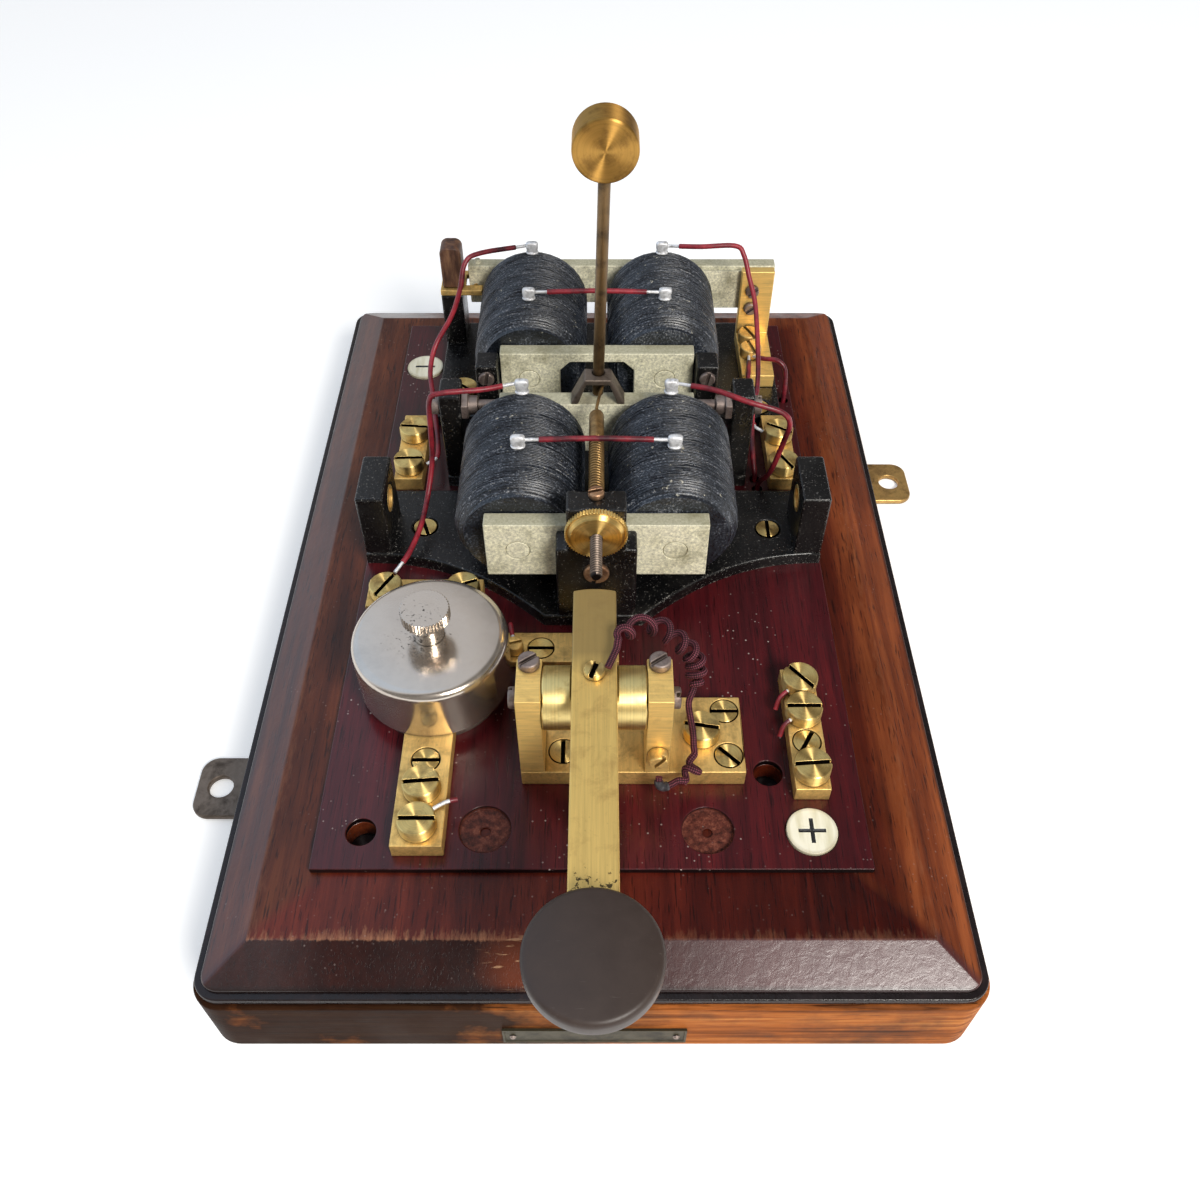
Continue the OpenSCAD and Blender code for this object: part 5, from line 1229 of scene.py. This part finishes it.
class BELL_OT_windings(Operator):
    """Winds the four coils turn by turn on their inner layers"""
    bl_idname = "block_bell.windings"
    bl_label = "Windings"

    def execute(self, context):
        turns = sizes().strand_turns
        long, outer = 55.0, 22.4
        pitch = (long - 2.4) / turns
        strand = pitch * 0.5

        def drawn_in(y):
            f = min(1.0, max(0.0, (y - 1.5) / (long - 3.0)))
            return 3.4 * (max(0.0, 1 - 9 * f) ** 2 + max(0.0, 9 * f - 8) ** 2)

        shape = bmesh.new()
        bmesh.ops.create_circle(shape, segments=6, radius=strand * MM)
        bmesh.ops.transform(shape, verts=shape.verts,
                            matrix=Matrix.Translation((0, (1.2 + pitch / 2) * MM, (outer - strand) * MM))
                            @ Matrix.Rotation(math.radians(90), 4, "Y"))
        swept(shape, pitch, turns - 1, 36)
        bmesh.ops.recalc_face_normals(shape, faces=shape.faces)
        for v in shape.verts:
            # Turns laid by hand ride a little high or low
            y, a = v.co.y / MM, math.atan2(v.co.x, v.co.z)
            wave = math.sin(5.3 * y + 2 * math.sin(1.7 * a))
            uneven = 0.1 * wave * math.sin(2.1 * y + 3 * math.cos(a)) - 0.1
            pull = 1 - (drawn_in(y) - uneven) * MM / math.hypot(v.co.x, v.co.z)
            v.co.x *= pull
            v.co.z *= pull
        heights = (0.3, 1, 2, 3, 4, 5.5, 7.5, 27, 47.5, 49.5, 51, 52, 53, 54, 54.7)
        inner = [(6.7, 0.3)] + [(outer - 0.4 - drawn_in(h), h) for h in heights] + [(6.7, 54.7), (6.7, 0.3)]
        absorb(shape, laid_down(lathe(inner, 80)))
        wound = bpy.data.meshes.new("layers")
        shape.to_mesh(wound)
        shape.free()
        for magnet, y in COIL_YS.items():
            for side, x in COIL_XS.items():
                mesh = wound.copy()
                mesh.transform(Matrix.Translation(Vector((x, y, COIL_Z)) * MM))
                place_mesh("%s_coil_%s" % (magnet, side), mesh, "base", "cotton_winding",
                           ("%s_winding_%s" % (magnet, side),), smooth=70)
        return {"FINISHED"}


class BELL_OT_leads(Operator):
    """Solders the tags, lays the red leads with their tinned ends, and leaves the cut ends of old wires"""
    bl_idname = "block_bell.leads"
    bl_label = "Tags and leads"

    def execute(self, context):
        size = sizes()
        blobs = bmesh.new()
        for x in COIL_XS.values():
            for y, drop in ((-0.5, 0.0), (29.5, 0.75), (86.5, 0.0), (119.5, 0.2)):
                foot = bmesh.ops.create_cube(blobs, size=MM)["verts"]
                bmesh.ops.scale(blobs, verts=foot, vec=(6.2, 5.0, 1.8))
                bmesh.ops.translate(blobs, verts=foot, vec=Vector((x, y, 92.1 - drop)) * MM)
                blade = bmesh.ops.create_cube(blobs, size=MM)["verts"]
                bmesh.ops.scale(blobs, verts=blade, vec=(5.6, 2.8, 5.6))
                bmesh.ops.translate(blobs, verts=blade, vec=Vector((x, y, 93.7)) * MM)
                for v in blade:
                    if v.co.z < 93 * MM:
                        v.co.x = x * MM + (v.co.x - x * MM) * 0.7
                edges = list({e for v in blade for e in v.link_edges})
                bmesh.ops.subdivide_edges(blobs, edges=edges, cuts=1, use_grid_fill=True)
        made = dress("solder_tags_dressed", blobs, "base", "tinned", ("solder_tags",), smooth=180)
        rounding = made.modifiers.new("rounding", "SUBSURF")
        rounding.levels = rounding.render_levels = 2
        covers, ends = [], []
        for k, route in enumerate(LEAD_ROUTES):
            points = evened(smooth_route(route, 10), 0.8)
            bare = 5 if k < 6 else 4
            tail = 5 if k < 2 else (4 if k in (2, 3, 7) else 0)
            covers.append(tube(points[bare:len(points) - tail], size.lead_d))
            first = [points[0] + (points[0] - points[1]).normalized() * 1.6] + points[:bare + 2]
            ends.append(tube(first, size.bare_d))
            if tail:
                last = points[-tail - 2:] + [points[-1] + (points[-1] - points[-2]).normalized() * 1.6]
                ends.append(tube(last, size.bare_d))
        place_mesh("lead_covers", joined(covers, "lead_covers"), "base", "lead_red",
                   ("leads",))
        place_mesh("lead_ends", joined(ends, "lead_ends"), "base", "tinned")
        covers, ends = [], []
        for route in STUB_ROUTES:
            points = smooth_route(route, 6)
            bare = 11 if route is STUB_ROUTES[0] else 5
            ends.append(tube(points[:bare + 4], size.bare_d))
            covers.append(tube(points[bare:], size.lead_d * 0.8))
        place_mesh("stub_covers", joined(covers, "stub_covers"), "base", "lead_red")
        place_mesh("stub_ends", joined(ends, "stub_ends"), "base", "tinned")
        return {"FINISHED"}


class BELL_OT_tension(Operator):
    """Cuts the adjusting screw, winds the tension spring and bends its hook"""
    bl_idname = "block_bell.tension"
    bl_label = "Tension gear"

    def execute(self, context):
        x, z = TENSION_X, TENSION_Z
        note_axes(softened("knurled_nut", 0.12 * MM, "nut_brass", "nut", angle=45),
                  [(x, -38.7, z)])
        shape = bmesh.new()
        line = [shape.verts.new((0, h * MM, r * MM)) for r, h in ((1.5, 0.0), (1.98, 0.5), (1.5, 1.0))]
        for a, b in zip(line, line[1:]):
            shape.edges.new((a, b))
        swept(shape, 1.0, 36, 24)
        bmesh.ops.remove_doubles(shape, verts=shape.verts, dist=2e-6)
        bmesh.ops.recalc_face_normals(shape, faces=shape.faces)
        core = lathe([(0, 0.0), (1.3, 0.0), (1.54, 0.4), (1.54, 36.6), (1.3, 37), (0, 37)], 32)
        absorb(shape, laid_down(core))
        dress("tension_screw", moved(shape, x, -57, z), "adjuster", "thread_steel",
              ("adjusting_screw",))
        points, turns, steps, r, y0, y1 = [], 20, 20, 2.225, -19.15, 5.75
        for i in range(turns * steps + 1):
            f = i / (turns * steps)
            a = 2 * math.pi * turns * f
            points.append(Vector((x + r * math.cos(a), y0 + (y1 - y0) * f, z + r * math.sin(a))))
        points = [points[0] - Vector((0, 0.75, 0))] + points + [points[-1] + Vector((0, 0.75, 0))]
        made = place_mesh("tension_coil", tube(points, 0.95 * MM), None, "spring_bronze",
                          ("tension_spring",))
        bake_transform(made, "adjuster", "base", start=(x * MM, -0.0195, z * MM), end=(x * MM, 0.006, z * MM))
        plug = lathe([(0, 0), (2.1, 0), (2.6, 0.5), (2.6, 13.4), (2.3, 14.2), (1.2, 15), (0, 15)], 40)
        dress("tension_plug", moved(laid_down(plug), x, 6.6, z), "base", "spring_bronze",
              ("spring_plug",))
        hook = [Vector((1.2, 20.8, z)), Vector((1.2, 24.6, z)), Vector((2.2, 31.4, z))]
        for i in range(25):
            a = math.radians(-40 + 210 * i / 24)
            hook.append(Vector((1.6 + 2.85 * math.cos(a), 40.4 + 2.85 * math.sin(a), z)))
        bent = place_mesh("tension_hook", tube(hook, 1.2 * MM), None, "spring_bronze")
        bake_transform(bent, "base", "hammer", start=(x * MM, 0.0216, z * MM), end=(x * MM, 0.037, z * MM))
        return {"FINISHED"}


class BELL_OT_hammer(Operator):
    """Dresses the armature, its pivots, the stirrup, the rod and the head"""
    bl_idname = "block_bell.hammer"
    bl_label = "Hammer"

    def execute(self, context):
        edge = sizes().brass_edge
        softened("bell_armature", edge * 1.3, "cream_plating", "hammer")
        softened("armature_shaft", edge, "screw_steel", "hammer")
        softened("trunnions", edge * 0.8, "screw_steel")
        softened("hammer_stirrup", edge * 1.6, "iron_plate", "hammer")
        softened("hammer_rod", edge, "rod_bronze", "hammer")
        made = softened("hammer_head", edge, "head_brass", "hammer")
        note_axes(made, [(4.08, 40.4, 176.8)])
        return {"FINISHED"}


class BELL_OT_relay(Operator):
    """Dresses the relay's bar, bracket, leaf, fork and block"""
    bl_idname = "block_bell.relay"
    bl_label = "Relay"

    def execute(self, context):
        edge = sizes().brass_edge
        softened("relay_armature", edge * 1.3, "cream_plating", "relay")
        softened("relay_bracket", edge * 1.2, "key_brass")
        leaf = softened("hinge_leaf", 0.12 * MM, "cream_plating", None)
        cut = bmesh.new()
        cut.from_mesh(leaf.data)
        for x in (58.5, 59.5, 60.5, 61.5):
            bmesh.ops.bisect_plane(cut, geom=cut.verts[:] + cut.edges[:] + cut.faces[:],
                                   plane_co=(x * MM, 0, 0), plane_no=(1, 0, 0))
        cut.to_mesh(leaf.data)
        cut.free()
        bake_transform(leaf, "base", "relay", start=(0.0615, 0.12465, 0.071), end=(0.0585, 0.12465, 0.071))
        softened("contact_fork", edge, "bar_brass")
        softened("contact_block", edge * 2, "block_fibre")
        return {"FINISHED"}


class BELL_OT_protector(Operator):
    """Spins the nickel cap and dresses its thumb nut and base"""
    bl_idname = "block_bell.protector"
    bl_label = "Lightning protector"

    def execute(self, context):
        finish_node("protector_base", "screw_steel")
        x, y, low, high = -51.8, -62.6, 47.15, 67.6
        profile = [(23.8, low), (25, low), (25, high - 3.2)]
        for i in range(9):
            a = math.radians(90 * i / 8)
            profile.append((22 + 3 * math.cos(a), high - 3 + 3 * math.sin(a)))
        profile += [(12, high), (4.0, high), (4.0, high - 1.2), (21.8, high - 1.2), (23.4, high - 2.2),
                    (23.8, high - 3.6), (23.8, low)]
        dress("nickel_cap", moved(lathe(profile, 128), x, y, 0), "cap", "nickel_plate", ("cap",),
              smooth=40)
        softened("thumb_nut", 0.15 * MM, "nickel_plate", "thumb", angle=45)
        return {"FINISHED"}


STEPS = (BELL_OT_stage, BELL_OT_flex, BELL_OT_woodwork, BELL_OT_plates, BELL_OT_terminals, BELL_OT_key,
         BELL_OT_knob, BELL_OT_springs, BELL_OT_magnets, BELL_OT_windings, BELL_OT_leads, BELL_OT_tension,
         BELL_OT_hammer, BELL_OT_relay, BELL_OT_protector)


class BELL_PT_panel(Panel):
    """Lists the steps that dress the bell, with its sizes and colours"""
    bl_idname = "BELL_PT_panel"
    bl_label = "Block Bell"
    bl_space_type = "VIEW_3D"
    bl_region_type = "UI"
    bl_category = "Block Bell"

    def draw(self, context):
        for step in STEPS:
            self.layout.operator(step.bl_idname)
        for group in (sizes(), colours()):
            box = self.layout.box()
            for name in group.__annotations__:
                box.prop(group, name)


CLASSES = (BellSizes, BellColours, *STEPS, BELL_PT_panel)


def register():
    for each in CLASSES:
        bpy.utils.register_class(each)
    bpy.types.Scene.block_bell_sizes = PointerProperty(type=BellSizes)
    bpy.types.Scene.block_bell_colours = PointerProperty(type=BellColours)


def unregister():
    del bpy.types.Scene.block_bell_colours
    del bpy.types.Scene.block_bell_sizes
    for each in reversed(CLASSES):
        bpy.utils.unregister_class(each)


def main():
    register()
    for step in STEPS:
        group, name = step.bl_idname.split(".")
        getattr(getattr(bpy.ops, group), name)()


if __name__ == "__main__":
    main()
